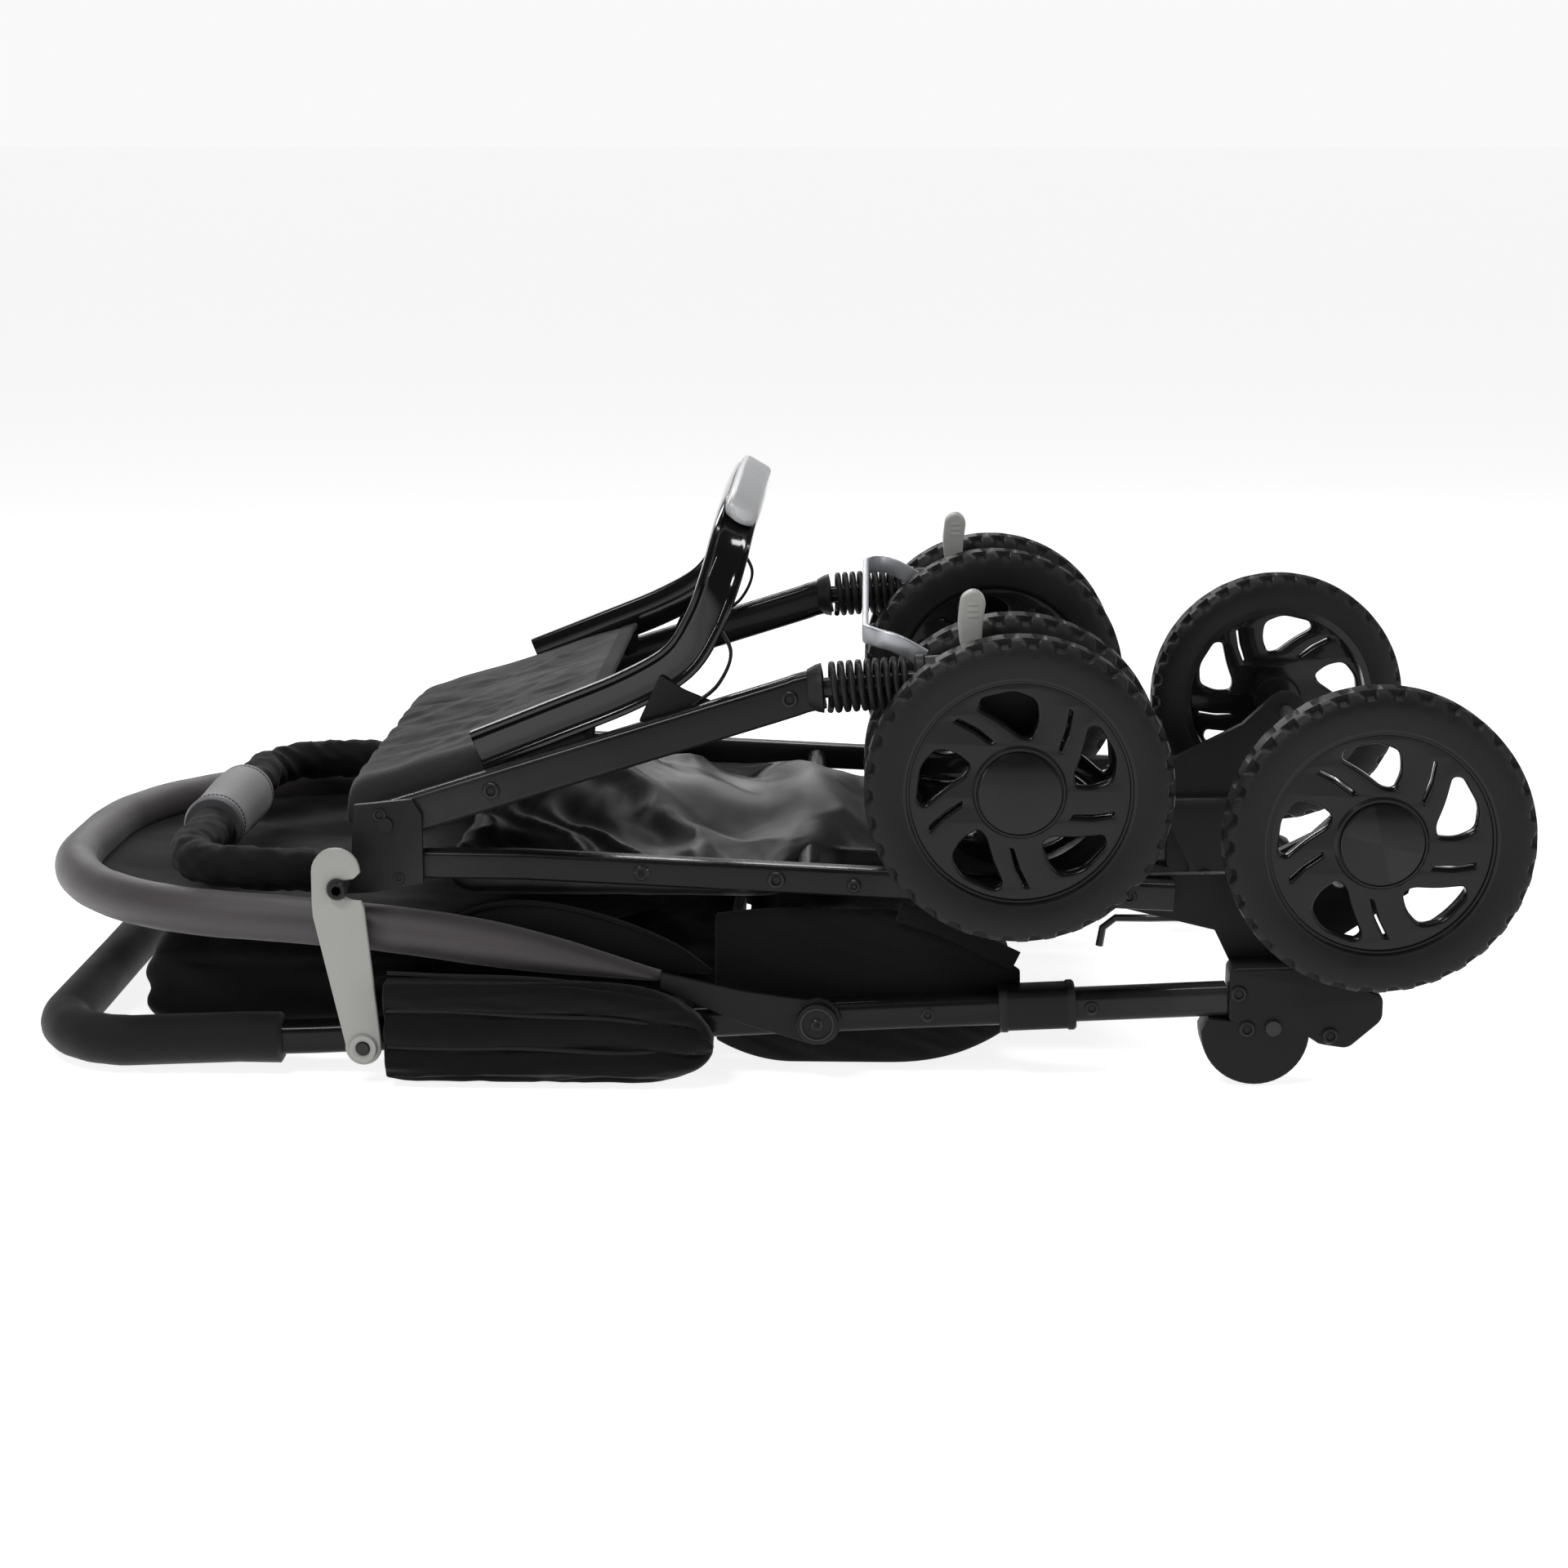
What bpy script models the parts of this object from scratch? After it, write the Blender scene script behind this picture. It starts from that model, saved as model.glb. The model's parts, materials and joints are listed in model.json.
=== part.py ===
"""Folded pet stroller, lying on its handle frame with the wheels uppermost.

Metres, +Z up. +X runs from the push handle to the rear wheels and Y = 0 is the plane of symmetry. The origin
is on the floor, under the middle of the part. "right" is the -Y side and "left" is the +Y side.
"""

import math

import bmesh
import bpy
from mathutils import Vector

# ---- Driving dimensions --------------------------------------------------------------------------------
GAP = 0.0003            # clearance between pieces that touch
HANDLE_Y = 0.200        # handle tube centre, each side
RAIL_Y = 0.190          # side rail and front leg centre, each side
HANDLE_X = -0.460       # centre of the push bar
HANDLE_SLOPE = 0.052    # rise of the handle legs per metre, towards the hinge
TUBE_W = 0.020          # handle tube, across and high
RAIL_W, RAIL_H = 0.016, 0.018
LEG_W, LEG_H = 0.016, 0.025
FOAM_R = 0.0163
WHEEL_R = 0.0955
WHEEL_W = 0.036
RIM_R = 0.0715
HUB_R = 0.025
REAR_AXLE = (0.382, 0.166)          # x, z
REAR_WHEEL_Y = 0.2345
FRONT_AXLE = (0.161, 0.196)
FRONT_WHEEL_OUT_Y = 0.232
FRONT_WHEEL_IN_Y = 0.147
FOLD_PIVOT = (0.325, 0.038)         # x, z of the main fold
LEG_PIVOT = (-0.236, 0.1635)        # x, z of the front legs' hinge
CANOPY_PIVOT = (0.037, 0.040)
LATCH_PIVOT = (-0.250, 0.0245)
LATCH_BOLT = (-0.263, 0.128)
LOCK_PIVOT = (0.1305, 0.281)        # x, z of the swivel lock levers
BRAKE_PIVOT = (0.405, 0.132)        # x, z of the brake pedal
STEM_START = (0.040, 0.2505)        # where each leg ends and its spring begins
STEM_DIR = Vector((0.9968, 0.0, 0.0801))
SPRING_LEN = 0.0565
BOW_Y = 0.203           # canopy bow leg centre
BOW_R = 0.0155
BOW_END = -0.0660         # X of the ends of the bow's legs
BUMPER_Y = 0.172
BUMPER_Z = 0.1265
CENTRE_SHIFT = 0.0066   # from the middle of the handle frame to the middle of the part
PIN_R, PIN_HOLE_R = 0.005, 0.0053            # fold pins and rear axle, and the holes that they turn in
SMALL_PIN_R, SMALL_HOLE_R = 0.004, 0.0043    # front axles, latch stud and brake bar, and their holes
HOUSING_LOBE = (0.3125, 0.0325)              # x, z of the round foot of each hinge housing
LOBE_STEP = 20.0                             # degrees between points round the foot, one face level below

SIDES = (("left", 1), ("right", -1))

for old in list(bpy.data.objects):
    bpy.data.objects.remove(old, do_unlink=True)


# ---- Materials -----------------------------------------------------------------------------------------
def material(name, colour, roughness, metallic=0.0):
    mat = bpy.data.materials.new(name)
    mat.use_nodes = True
    shader = mat.node_tree.nodes["Principled BSDF"]
    shader.inputs["Base Color"].default_value = (*colour, 1.0)
    shader.inputs["Roughness"].default_value = roughness
    shader.inputs["Metallic"].default_value = metallic
    mat.diffuse_color = (*colour, 1.0)
    return mat


BLACK_PAINT = material("black_paint", (0.012, 0.012, 0.013), 0.35)
BLACK_PLASTIC = material("black_plastic", (0.011, 0.011, 0.011), 0.45)
GLOSS_BLACK = material("gloss_black", (0.008, 0.008, 0.008), 0.12)
GREY_PLASTIC = material("grey_plastic", (0.34, 0.34, 0.33), 0.45)
FOAM = material("foam", (0.016, 0.016, 0.016), 0.75)
TYRE = material("tyre", (0.013, 0.013, 0.013), 0.70)
BLACK_FABRIC = material("black_fabric", (0.009, 0.009, 0.010), 0.85)
CHARCOAL_FABRIC = material("charcoal_fabric", (0.030, 0.030, 0.033), 0.80)
GREY_COVER = material("grey_cover", (0.075, 0.068, 0.070), 0.55)
STEEL = material("steel", (0.55, 0.55, 0.56), 0.30, 1.0)


# ---- Shape tools ---------------------------------------------------------------------------------------
def add_object(name, bm, mat, smooth_angle=40.0):
    """Turns a bmesh into a named object, with its faces pointing out."""
    bmesh.ops.recalc_face_normals(bm, faces=bm.faces)
    mesh = bpy.data.meshes.new(name)
    bm.to_mesh(mesh)
    bm.free()
    mesh.materials.append(mat)
    mesh.shade_smooth()
    mesh.set_sharp_from_angle(angle=math.radians(smooth_angle))
    obj = bpy.data.objects.new(name, mesh)
    bpy.context.scene.collection.objects.link(obj)
    return obj


def hide_cutter(obj):
    obj.hide_render = True
    obj.display_type = "WIRE"


def boolean(obj, other, operation):
    """Cuts obj with another shape, or joins it to obj."""
    hide_cutter(other)
    mod = obj.modifiers.new(operation.lower(), "BOOLEAN")
    mod.operation = operation
    mod.object = other


def circle(radius, count, squash=1.0):
    """A round section of a swept piece, as (u, v) points."""
    turn = 2.0 * math.pi / count
    return [(radius * math.cos(i * turn), radius * squash * math.sin(i * turn)) for i in range(count)]


def box_section(width, height, chamfer):
    """A rectangular section with chamfered corners, width along u and height along v."""
    u, v, c = width / 2, height / 2, chamfer
    right = [(u, -v + c), (u, v - c), (u - c, v)]
    left = [(-u + c, v), (-u, v - c), (-u, -v + c)]
    return right + left + [(-u + c, -v), (u - c, -v)]


def rings_along(path, section, ref):
    """The section placed square to the path at each of its points, with u kept close to ref."""
    points = [Vector(p) for p in path]
    rings = []
    for i, point in enumerate(points):
        before = points[max(i - 1, 0)]
        after = points[min(i + 1, len(points) - 1)]
        tangent = (after - before).normalized()
        u_dir = (ref - ref.dot(tangent) * tangent).normalized()
        v_dir = tangent.cross(u_dir)
        rings.append([point + u * u_dir + v * v_dir for u, v in section])
    return rings


def offset_path(path, ref, distance):
    """The path moved sideways, along the direction that is square to it and to ref."""
    return [ring[0] for ring in rings_along(path, [(0.0, distance)], Vector(ref))]


def skin(bm, rings):
    """Joins rings of vertices with quads and returns the first and the last ring."""
    made = [[bm.verts.new(p) for p in ring] for ring in rings]
    count = len(made[0])
    for low, high in zip(made, made[1:]):
        for i in range(count):
            j = (i + 1) % count
            bm.faces.new((low[i], low[j], high[j], high[i]))
    return made[0], made[-1]


def sweep(name, path, section, ref, mat):
    """A solid bar of one section along a path."""
    bm = bmesh.new()
    first, last = skin(bm, rings_along(path, section, Vector(ref)))
    bm.faces.new(first)
    bm.faces.new(last)
    return add_object(name, bm, mat)


def sleeve(name, path, outer, inner, ref, mat):
    """A hollow sleeve along a path, open at both ends. Both sections have the same number of points."""
    bm = bmesh.new()
    ends = []
    for section in (outer, inner):
        ends.append(skin(bm, rings_along(path, section, Vector(ref))))
    for out_ring, in_ring in zip(*ends):
        count = len(out_ring)
        for i in range(count):
            j = (i + 1) % count
            bm.faces.new((out_ring[i], out_ring[j], in_ring[j], in_ring[i]))
    return add_object(name, bm, mat)


def plate(name, outline, y_low, y_high, mat):
    """An outline of (x, z) points, extruded between two Y planes."""
    bm = bmesh.new()
    face = bm.faces.new([bm.verts.new((x, y_low, z)) for x, z in outline])
    grown = bmesh.ops.extrude_face_region(bm, geom=[face])["geom"]
    moved = [item for item in grown if isinstance(item, bmesh.types.BMVert)]
    bmesh.ops.translate(bm, verts=moved, vec=(0.0, y_high - y_low, 0.0))
    return add_object(name, bm, mat)


def side_plate(name, outline, side, y_in, y_out, mat):
    """The same, given as distances from the middle plane on one side of the stroller."""
    low, high = sorted((side * y_in, side * y_out))
    return plate(name, outline, low, high, mat)


def lathe(name, profile, origin, axis, count, mat):
    """Turns a profile of (radius, distance along the axis) points. Radius 0 closes the shape on the axis."""
    along = Vector(axis).normalized()
    across = along.orthogonal().normalized()
    up = along.cross(across)
    base = Vector(origin)
    bm = bmesh.new()
    rings = []
    for radius, distance in profile:
        centre = base + distance * along
        if radius == 0.0:
            rings.append([bm.verts.new(centre)])
            continue
        ring = []
        for i in range(count):
            angle = 2.0 * math.pi * i / count
            ring.append(bm.verts.new(centre + radius * (math.cos(angle) * across + math.sin(angle) * up)))
        rings.append(ring)
    closed = profile[0][0] > 0.0 and profile[-1][0] > 0.0
    pairs = list(zip(rings, rings[1:]))
    if closed:
        pairs.append((rings[-1], rings[0]))
    for low, high in pairs:
        for i in range(count):
            j = (i + 1) % count
            if len(low) == 1:
                bm.faces.new((low[0], high[i], high[j]))
            elif len(high) == 1:
                bm.faces.new((low[i], low[j], high[0]))
            else:
                bm.faces.new((low[i], low[j], high[j], high[i]))
    return add_object(name, bm, mat)


def rod(name, x, z, radius, y_low, y_high, mat, count=12):
    """A round bar along Y."""
    length = y_high - y_low
    profile = [(0.0, 0.0), (radius, 0.0), (radius, length), (0.0, length)]
    return lathe(name, profile, (x, y_low, z), (0, 1, 0), count, mat)


def arc(cx, cz, radius, start, end, count):
    """Points on an arc in a flat outline, angles in degrees."""
    points = []
    for i in range(count + 1):
        angle = math.radians(start + (end - start) * i / count)
        points.append((cx + radius * math.cos(angle), cz + radius * math.sin(angle)))
    return points


def u_path(x_open, x_bar, half_width, corner, height_at, per_corner):
    """A U in plan: two legs along X and a bar along Y with round corners. height_at gives Z from X."""
    flat = [(x_open, half_width)]
    flat += arc(x_bar + corner, half_width - corner, corner, 90, 180, per_corner)
    half = [(x, y, height_at(x)) for x, y in flat]
    return half + [(x, -y, z) for x, y, z in reversed(half)]


def handle_z(x):
    """Centre height of the handle tube: level at the push bar, then rising towards the hinge."""
    return max(FOAM_R + 0.0002, CANOPY_PIVOT[1] + HANDLE_SLOPE * (x - CANOPY_PIVOT[0]))


def bow_z(x):
    """Centre height of the canopy bow: it climbs from the hubs and then runs level."""
    rise = (-0.062 - x) / 0.29
    return 0.066 + 0.037 * math.sin(min(max(rise, 0.0), 1.0) * math.pi / 2)


# ---- Handle frame: the part that lies on the floor -----------------------------------------------------
def handle_frame():
    hinge_face = 0.2955
    stations = [(hinge_face, HANDLE_Y)]
    stations += [(x, HANDLE_Y) for x in (0.0, -0.3055, -0.36)]
    stations += arc(HANDLE_X + 0.055, HANDLE_Y - 0.055, 0.055, 90, 180, 6)
    half = [(x, y, handle_z(x)) for x, y in stations]
    path = half + [(x, -y, z) for x, y, z in reversed(half)]
    sweep("handle_tube", path, box_section(TUBE_W, TUBE_W, 0.005), (0, 0, 1), BLACK_PAINT)
    grip = [p for p in path if p[0] < -0.305]
    sleeve("foam_grip", grip, circle(FOAM_R, 12), circle(0.0143, 12), (0, 0, 1), FOAM)
    housing = [(0.297, 0.0745), (0.345, 0.076), (0.392, 0.058), (0.392, 0.044), (0.372, 0.026),
               (0.358, 0.028)]
    lobe_r = HOUSING_LOBE[1] / math.cos(math.radians(LOBE_STEP / 2))    # puts the level face on the floor
    housing += arc(*HOUSING_LOBE, lobe_r, -20, -160, 7) + [(0.284, 0.0415), (0.297, 0.0415)]
    for name, side in SIDES:
        body = side_plate(f"hinge_housing_{name}", housing, side, 0.187, 0.213, BLACK_PLASTIC)
        low, high = side * HANDLE_Y - 0.02, side * HANDLE_Y + 0.02
        hole = rod(f"cutter_hinge_{name}", *FOLD_PIVOT, PIN_HOLE_R, low, high, STEEL)
        boolean(body, hole, "DIFFERENCE")
        ends = sorted((side * 0.170, side * 0.216))
        rod(f"hinge_pin_{name}", *FOLD_PIVOT, PIN_R, *ends, STEEL)
        run = [(0.153, side * HANDLE_Y, handle_z(0.153)), (0.200, side * HANDLE_Y, handle_z(0.200))]
        sleeve(f"tube_sleeve_{name}", run, box_section(0.028, 0.027, 0.004),
               box_section(TUBE_W + 2 * GAP, TUBE_W + 2 * GAP, 0.005), (0, 0, 1), BLACK_PLASTIC)
    cabin = [(-0.017, 0.003), (0.03, 0.001), (0.12, 0.006), (0.165, 0.024), (0.165, 0.075), (0.12, 0.092),
             (0.05, 0.094)] + arc(*CANOPY_PIVOT, 0.054, 105, 178, 6)
    plate("cabin_fabric", cabin, -0.184, 0.184, BLACK_FABRIC)


def latch():
    """The fold latch: a grey hook on the right handle leg that catches a bolt on the elbow bracket."""
    outer_face = -(HANDLE_Y + TUBE_W / 2 + GAP)
    rod("latch_stud", *LATCH_PIVOT, SMALL_PIN_R, -0.2315, outer_face, STEEL)
    outline = arc(-0.2635, 0.1385, 0.0145, 180, 20, 6)
    outline += [(-0.2500, 0.1370), (-0.2580, 0.1365)] + arc(-0.2630, 0.1280, 0.0075, 70, 290, 6)
    outline += [(-0.2490, 0.1185)] + arc(*LATCH_PIVOT, 0.0105, 10, -190, 7)
    hook = plate("latch_hook", outline, -0.2285, -0.2240, GREY_PLASTIC)
    hole = rod("cutter_latch", *LATCH_PIVOT, SMALL_HOLE_R, -0.24, -0.21, STEEL)
    boolean(hook, hole, "DIFFERENCE")


# ---- Canopy --------------------------------------------------------------------------------------------
def canopy():
    bend = u_path(BOW_END, -0.476, BOW_Y, 0.175, bow_z, 10)[1:-1]
    leg = [(x, BOW_Y, bow_z(x)) for x in (BOW_END, -0.15, -0.24)]
    path = leg + bend + [(x, -y, z) for x, y, z in reversed(leg)]
    sweep("canopy_bow", path, circle(BOW_R, 10), (0, 0, 1), GREY_COVER)
    px, pz = CANOPY_PIVOT
    arm = arc(px, pz, 0.0155, -100, 115, 8)
    arm += [(-0.01, 0.060), (-0.0625, 0.0715), (-0.0625, 0.0605), (-0.01, 0.038)]
    for name, side in SIDES:
        hub = side_plate(f"canopy_hub_{name}", arm, side, 0.2107, 0.2150, BLACK_PLASTIC)
        ends = sorted((side * 0.2130, side * 0.2215))
        boolean(hub, rod(f"join_hub_{name}", px, pz, 0.0130, *ends, STEEL, 20), "UNION")
        fold = [(-0.236, 0.002), (-0.045, 0.002), (-0.030, 0.012), (-0.028, 0.034), (-0.045, 0.044),
                (-0.110, 0.053), (-0.236, 0.068)]
        side_plate(f"canopy_side_{name}", fold, side, 0.2157, 0.2370, BLACK_FABRIC)
    block = [(-0.405, 0.010), (-0.385, 0.003), (-0.045, 0.003), (-0.020, 0.012), (-0.020, 0.075),
             (-0.045, 0.085), (-0.385, 0.082), (-0.405, 0.074)]
    plate("canopy_fabric", block, -0.180, 0.180, BLACK_FABRIC)


# ---- Chassis: side rails, elbow brackets, rear wheels' mounting, bumper ---------------------------------
def chassis():
    rail_path = [(-0.245, 0.1365), (-0.150, 0.1355), (0.060, 0.1260), (0.262, 0.1180)]
    elbow = [(-0.2555, 0.1760), (-0.2190, 0.1800), (-0.2130, 0.1700), (-0.2130, 0.1255), (-0.2450, 0.1195),
             (-0.2700, 0.1180), (-0.2745, 0.1300), (-0.2680, 0.1380), (-0.2580, 0.1450)]
    knuckle = [(0.2250, 0.1280), (0.2250, 0.1085), (0.2900, 0.0930), (0.3130, 0.0460)]
    knuckle += arc(*FOLD_PIVOT, 0.0125, -150, 0, 5)
    knuckle += [(0.3420, 0.0700), (0.4120, 0.1180), (0.4160, 0.1360)] + arc(*REAR_AXLE, 0.0150, -10, 130, 5)
    knuckle += [(0.3500, 0.1560), (0.3000, 0.1300)]
    for name, side in SIDES:
        path = [(x, side * RAIL_Y, z) for x, z in rail_path]
        sweep(f"side_rail_{name}", path, box_section(RAIL_W, RAIL_H, 0.003), (0, 1, 0), BLACK_PAINT)
        bracket = side_plate(f"elbow_bracket_{name}", elbow, side, 0.1985, 0.2030, BLACK_PLASTIC)
        ends = sorted((side * 0.1800, side * 0.2050))
        boolean(bracket, rod(f"join_elbow_{name}", *LEG_PIVOT, PIN_R, *ends, STEEL), "UNION")
        body = side_plate(f"rear_knuckle_{name}", knuckle, side, 0.1740, 0.1815, BLACK_PLASTIC)
        low, high = sorted((side * 0.16, side * 0.19))
        boolean(body, rod(f"cutter_pivot_{name}", *FOLD_PIVOT, PIN_HOLE_R, low, high, STEEL), "DIFFERENCE")
        boolean(body, rod(f"cutter_axle_{name}", *REAR_AXLE, PIN_HOLE_R, low, high, STEEL), "DIFFERENCE")
        boolean(body, rod(f"cutter_brake_{name}", *BRAKE_PIVOT, SMALL_HOLE_R, low, high, STEEL), "DIFFERENCE")
    rod("latch_bolt", *LATCH_BOLT, PIN_R, -0.2320, -(0.2030 + GAP), STEEL)
    rod("rear_axle", *REAR_AXLE, PIN_R, -0.2560, 0.2560, STEEL)
    inner = RAIL_Y - RAIL_W / 2 - GAP
    rod("rail_crossbar", 0.030, 0.1265, 0.007, -inner, inner, BLACK_PAINT)
    bumper = u_path(-0.2765, -0.380, BUMPER_Y, 0.055, lambda x: BUMPER_Z, 6)
    sweep("bumper_bar", bumper, circle(0.0150, 10), (0, 0, 1), BLACK_FABRIC)
    cuff = [(-0.380, -0.055, BUMPER_Z), (-0.380, 0.0, BUMPER_Z), (-0.380, 0.055, BUMPER_Z)]
    sleeve("bumper_cuff", cuff, circle(0.0215, 12), circle(0.0160, 12), (0, 0, 1), GREY_COVER)
    seat = [(-0.200, 0.1020), (0.2400, 0.1000), (0.2600, 0.1080), (0.2600, 0.1340), (-0.205, 0.1450)]
    body = plate("seat_fabric", seat, -0.172, 0.172, CHARCOAL_FABRIC)
    boolean(body, rod("cutter_crossbar", 0.030, 0.1265, 0.0075, -0.2, 0.2, STEEL), "DIFFERENCE")
    well = [(0.0580, 0.09), (0.2650, 0.09), (0.2650, 0.16), (0.0580, 0.16)]
    for name, side in SIDES:
        boolean(body, side_plate(f"cutter_well_{name}", well, side, 0.1130, 0.1800, STEEL), "DIFFERENCE")
    wire_y = 0.1665
    wire = [(0.2180, wire_y, 0.0780), (0.2200, wire_y, 0.0900), (0.2280, wire_y, 0.0965),
            (0.2500, wire_y, 0.0965), (0.3480, wire_y, 0.0990), (0.3560, wire_y - 0.006, 0.0990), (0.3600, wire_y - 0.016, 0.0990)]
    wire += [(x, -y, z) for x, y, z in reversed(wire)]
    sweep("wire_stay", wire, circle(0.0025, 6), (0, 0, 1), STEEL)
    shaft = rod("brake_bar", *BRAKE_PIVOT, SMALL_PIN_R, -0.186, 0.186, BLACK_PLASTIC)
    px, pz = BRAKE_PIVOT
    tread = [(px - 0.010, pz + 0.006), (px - 0.008, pz - 0.010), (px + 0.002, pz - 0.060),
             (px + 0.010, pz - 0.062), (px + 0.010, pz + 0.004), (px + 0.004, pz + 0.010)]
    boolean(shaft, plate("join_pedal", tread, -0.045, 0.045, BLACK_PLASTIC), "UNION")


# ---- Front legs, arch and front carriage ---------------------------------------------------------------
def on_stem(distance, side):
    """A point on the caster stem's axis, measured from the leg's end."""
    start = Vector((STEM_START[0], side * RAIL_Y, STEM_START[1]))
    return start + distance * STEM_DIR


def spring(name, side):
    """An open coil around the stem."""
    turns, per_turn, coil_r, wire_r = 7, 10, 0.0148, 0.0022
    up = Vector((0, 1, 0)).cross(STEM_DIR)
    first, last = wire_r + 0.001, SPRING_LEN - wire_r - 0.001
    path = []
    for i in range(turns * per_turn + 1):
        angle = 2 * math.pi * i / per_turn
        centre = on_stem(first + (last - first) * i / (turns * per_turn), side)
        path.append(centre + coil_r * (math.cos(angle) * up + math.sin(angle) * Vector((0, 1, 0))))
    sweep(name, path, circle(wire_r, 5), STEM_DIR, BLACK_PLASTIC)


def front_legs():
    leg_path = [(-0.2480, 0.1597), (-0.10, 0.2067), (0.0100, 0.2415), (0.0260, 0.2470), (0.0395, 0.2503)]
    for name, side in SIDES:
        path = [(x, side * RAIL_Y, z) for x, z in leg_path]
        leg = sweep(f"front_leg_{name}", path, box_section(LEG_W, LEG_H, 0.004), (0, 1, 0), BLACK_PAINT)
        ends = sorted((side * 0.17, side * 0.21))
        boolean(leg, rod(f"cutter_leg_{name}", *LEG_PIVOT, PIN_HOLE_R, *ends, STEEL), "DIFFERENCE")
        spring(f"suspension_spring_{name}", side)
        profile = [(0.0, -0.006), (0.0065, -0.006), (0.0065, 0.0745), (0.0, 0.0745)]
        stem = lathe(f"join_stem_{name}", profile, on_stem(0.0, side), STEM_DIR, 10, STEEL)
        boolean(leg, stem, "UNION")
    panel = [(-0.2500, 0.1905), (-0.1100, 0.2340), (-0.1110, 0.2265), (-0.2500, 0.1825)]
    plate("leg_panel", panel, -0.166, 0.166, CHARCOAL_FABRIC)
    half = [(-0.180, 0.1750, 0.2060), (-0.130, 0.1750, 0.2260), (-0.084, 0.1750, 0.2450),
            (-0.052, 0.1750, 0.2640), (-0.036, 0.1740, 0.2880), (-0.026, 0.1690, 0.3140),
            (-0.020, 0.1520, 0.3360), (-0.017, 0.1200, 0.3480)]
    arch = half + [(-0.016, 0.060, 0.3520), (-0.016, 0.0, 0.3530), (-0.016, -0.060, 0.3520)]
    arch += [(x, -y, z) for x, y, z in reversed(half)]
    sweep("front_arch", arch, box_section(0.026, 0.010, 0.003), (0.85, 0, -0.5), GLOSS_BLACK)
    tilt = (0.85, 0, -0.5)
    raised = [p for p in offset_path(arch, tilt, 0.0085) if abs(p[1]) < 0.170 and p[2] > 0.30]
    sweep("arch_pad", raised, box_section(0.022, 0.006, 0.0015), tilt, GREY_PLASTIC)


def front_carriage():
    bar = [(0.103, 0.1705, 0.2660), (0.086, 0.1690, 0.2750), (0.070, 0.1600, 0.2780), (0.066, 0.1400, 0.2780)]
    bar += [(x, -y, z) for x, y, z in reversed(bar)]
    sweep("front_crossbar", bar, box_section(0.004, 0.012, 0.001), (0, 0, 1), STEEL)
    depth = 0.0330
    housing = [(0.0, depth), (0.0074, depth), (0.0074, 0.0), (0.0165, 0.0), (0.0165, 0.030), (0.0130, 0.0365),
               (0.0, 0.0365)]
    fx, fz = FRONT_AXLE
    fork = [(0.1355, 0.2455), (0.1500, 0.2300), (0.1470, 0.2000)] + arc(fx, fz, 0.0140, 180, 360, 7)
    fork += [(0.1760, 0.2150), (0.1850, 0.2500), (0.1760, 0.2700), (0.1600, 0.2780), (0.1355, 0.2740)]
    lx, lz = LOCK_PIVOT
    lever = [(lx - 0.0055, lz - 0.0030), (lx + 0.0055, lz - 0.0030), (lx + 0.0085, lz + 0.0280),
             (lx + 0.0010, lz + 0.0310), (lx - 0.0050, lz + 0.0280)]
    for name, side in SIDES:
        base = on_stem(SPRING_LEN + 0.001, side)
        lathe(f"caster_housing_{name}", housing, base, STEM_DIR, 16, BLACK_PLASTIC)
        body = side_plate(f"caster_fork_{name}", fork, side, RAIL_Y - 0.0120, RAIL_Y + 0.0120, BLACK_PLASTIC)
        low, high = sorted((side * 0.15, side * 0.23))
        boolean(body, rod(f"cutter_fork_{name}", fx, fz, SMALL_HOLE_R, low, high, STEEL), "DIFFERENCE")
        low, high = sorted((side * 0.1240, side * 0.2540))
        rod(f"front_axle_{name}", fx, fz, SMALL_PIN_R, low, high, STEEL)
        side_plate(f"lock_lever_{name}", lever, side, RAIL_Y - 0.0070, RAIL_Y + 0.0070, GREY_PLASTIC)


# ---- Wheels --------------------------------------------------------------------------------------------
def wheel(name, x, y, z, bore):
    """A tyre and a moulded rim with five openings, turning about Y."""
    half = WHEEL_W / 2
    tread = [(RIM_R + GAP, -0.0150), (0.0860, -half), (0.0925, -half + 0.002), (WHEEL_R, -0.0100),
             (WHEEL_R, 0.0100), (0.0925, half - 0.002), (0.0860, half), (RIM_R + GAP, 0.0150)]
    lathe(f"tyre_{name}", tread, (x, y, z), (0, 1, 0), 24, TYRE)
    profile = [(bore, -0.0140), (HUB_R, -0.0140), (HUB_R, -0.0080), (0.0630, -0.0080), (0.0650, -0.0140),
               (RIM_R, -0.0140), (RIM_R, 0.0140), (0.0650, 0.0140), (0.0630, 0.0080), (HUB_R, 0.0080),
               (HUB_R, 0.0140), (bore, 0.0140)]
    rim = lathe(f"rim_{name}", profile, (x, y, z), (0, 1, 0), 24, GLOSS_BLACK)
    bm = bmesh.new()
    for k in range(5):
        start = 90 + 72 * k
        wedge = arc(0.0, 0.0, 0.0600, start - 21, start + 21, 4)
        wedge += arc(0.0, 0.0, 0.0320, start + 12, start - 12, 1)
        face = bm.faces.new([bm.verts.new((x + u, y - 0.02, z + v)) for u, v in wedge])
        grown = bmesh.ops.extrude_face_region(bm, geom=[face])["geom"]
        moved = [item for item in grown if isinstance(item, bmesh.types.BMVert)]
        bmesh.ops.translate(bm, verts=moved, vec=(0.0, 0.04, 0.0))
    boolean(rim, add_object(f"cutter_rim_{name}", bm, STEEL), "DIFFERENCE")


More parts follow.
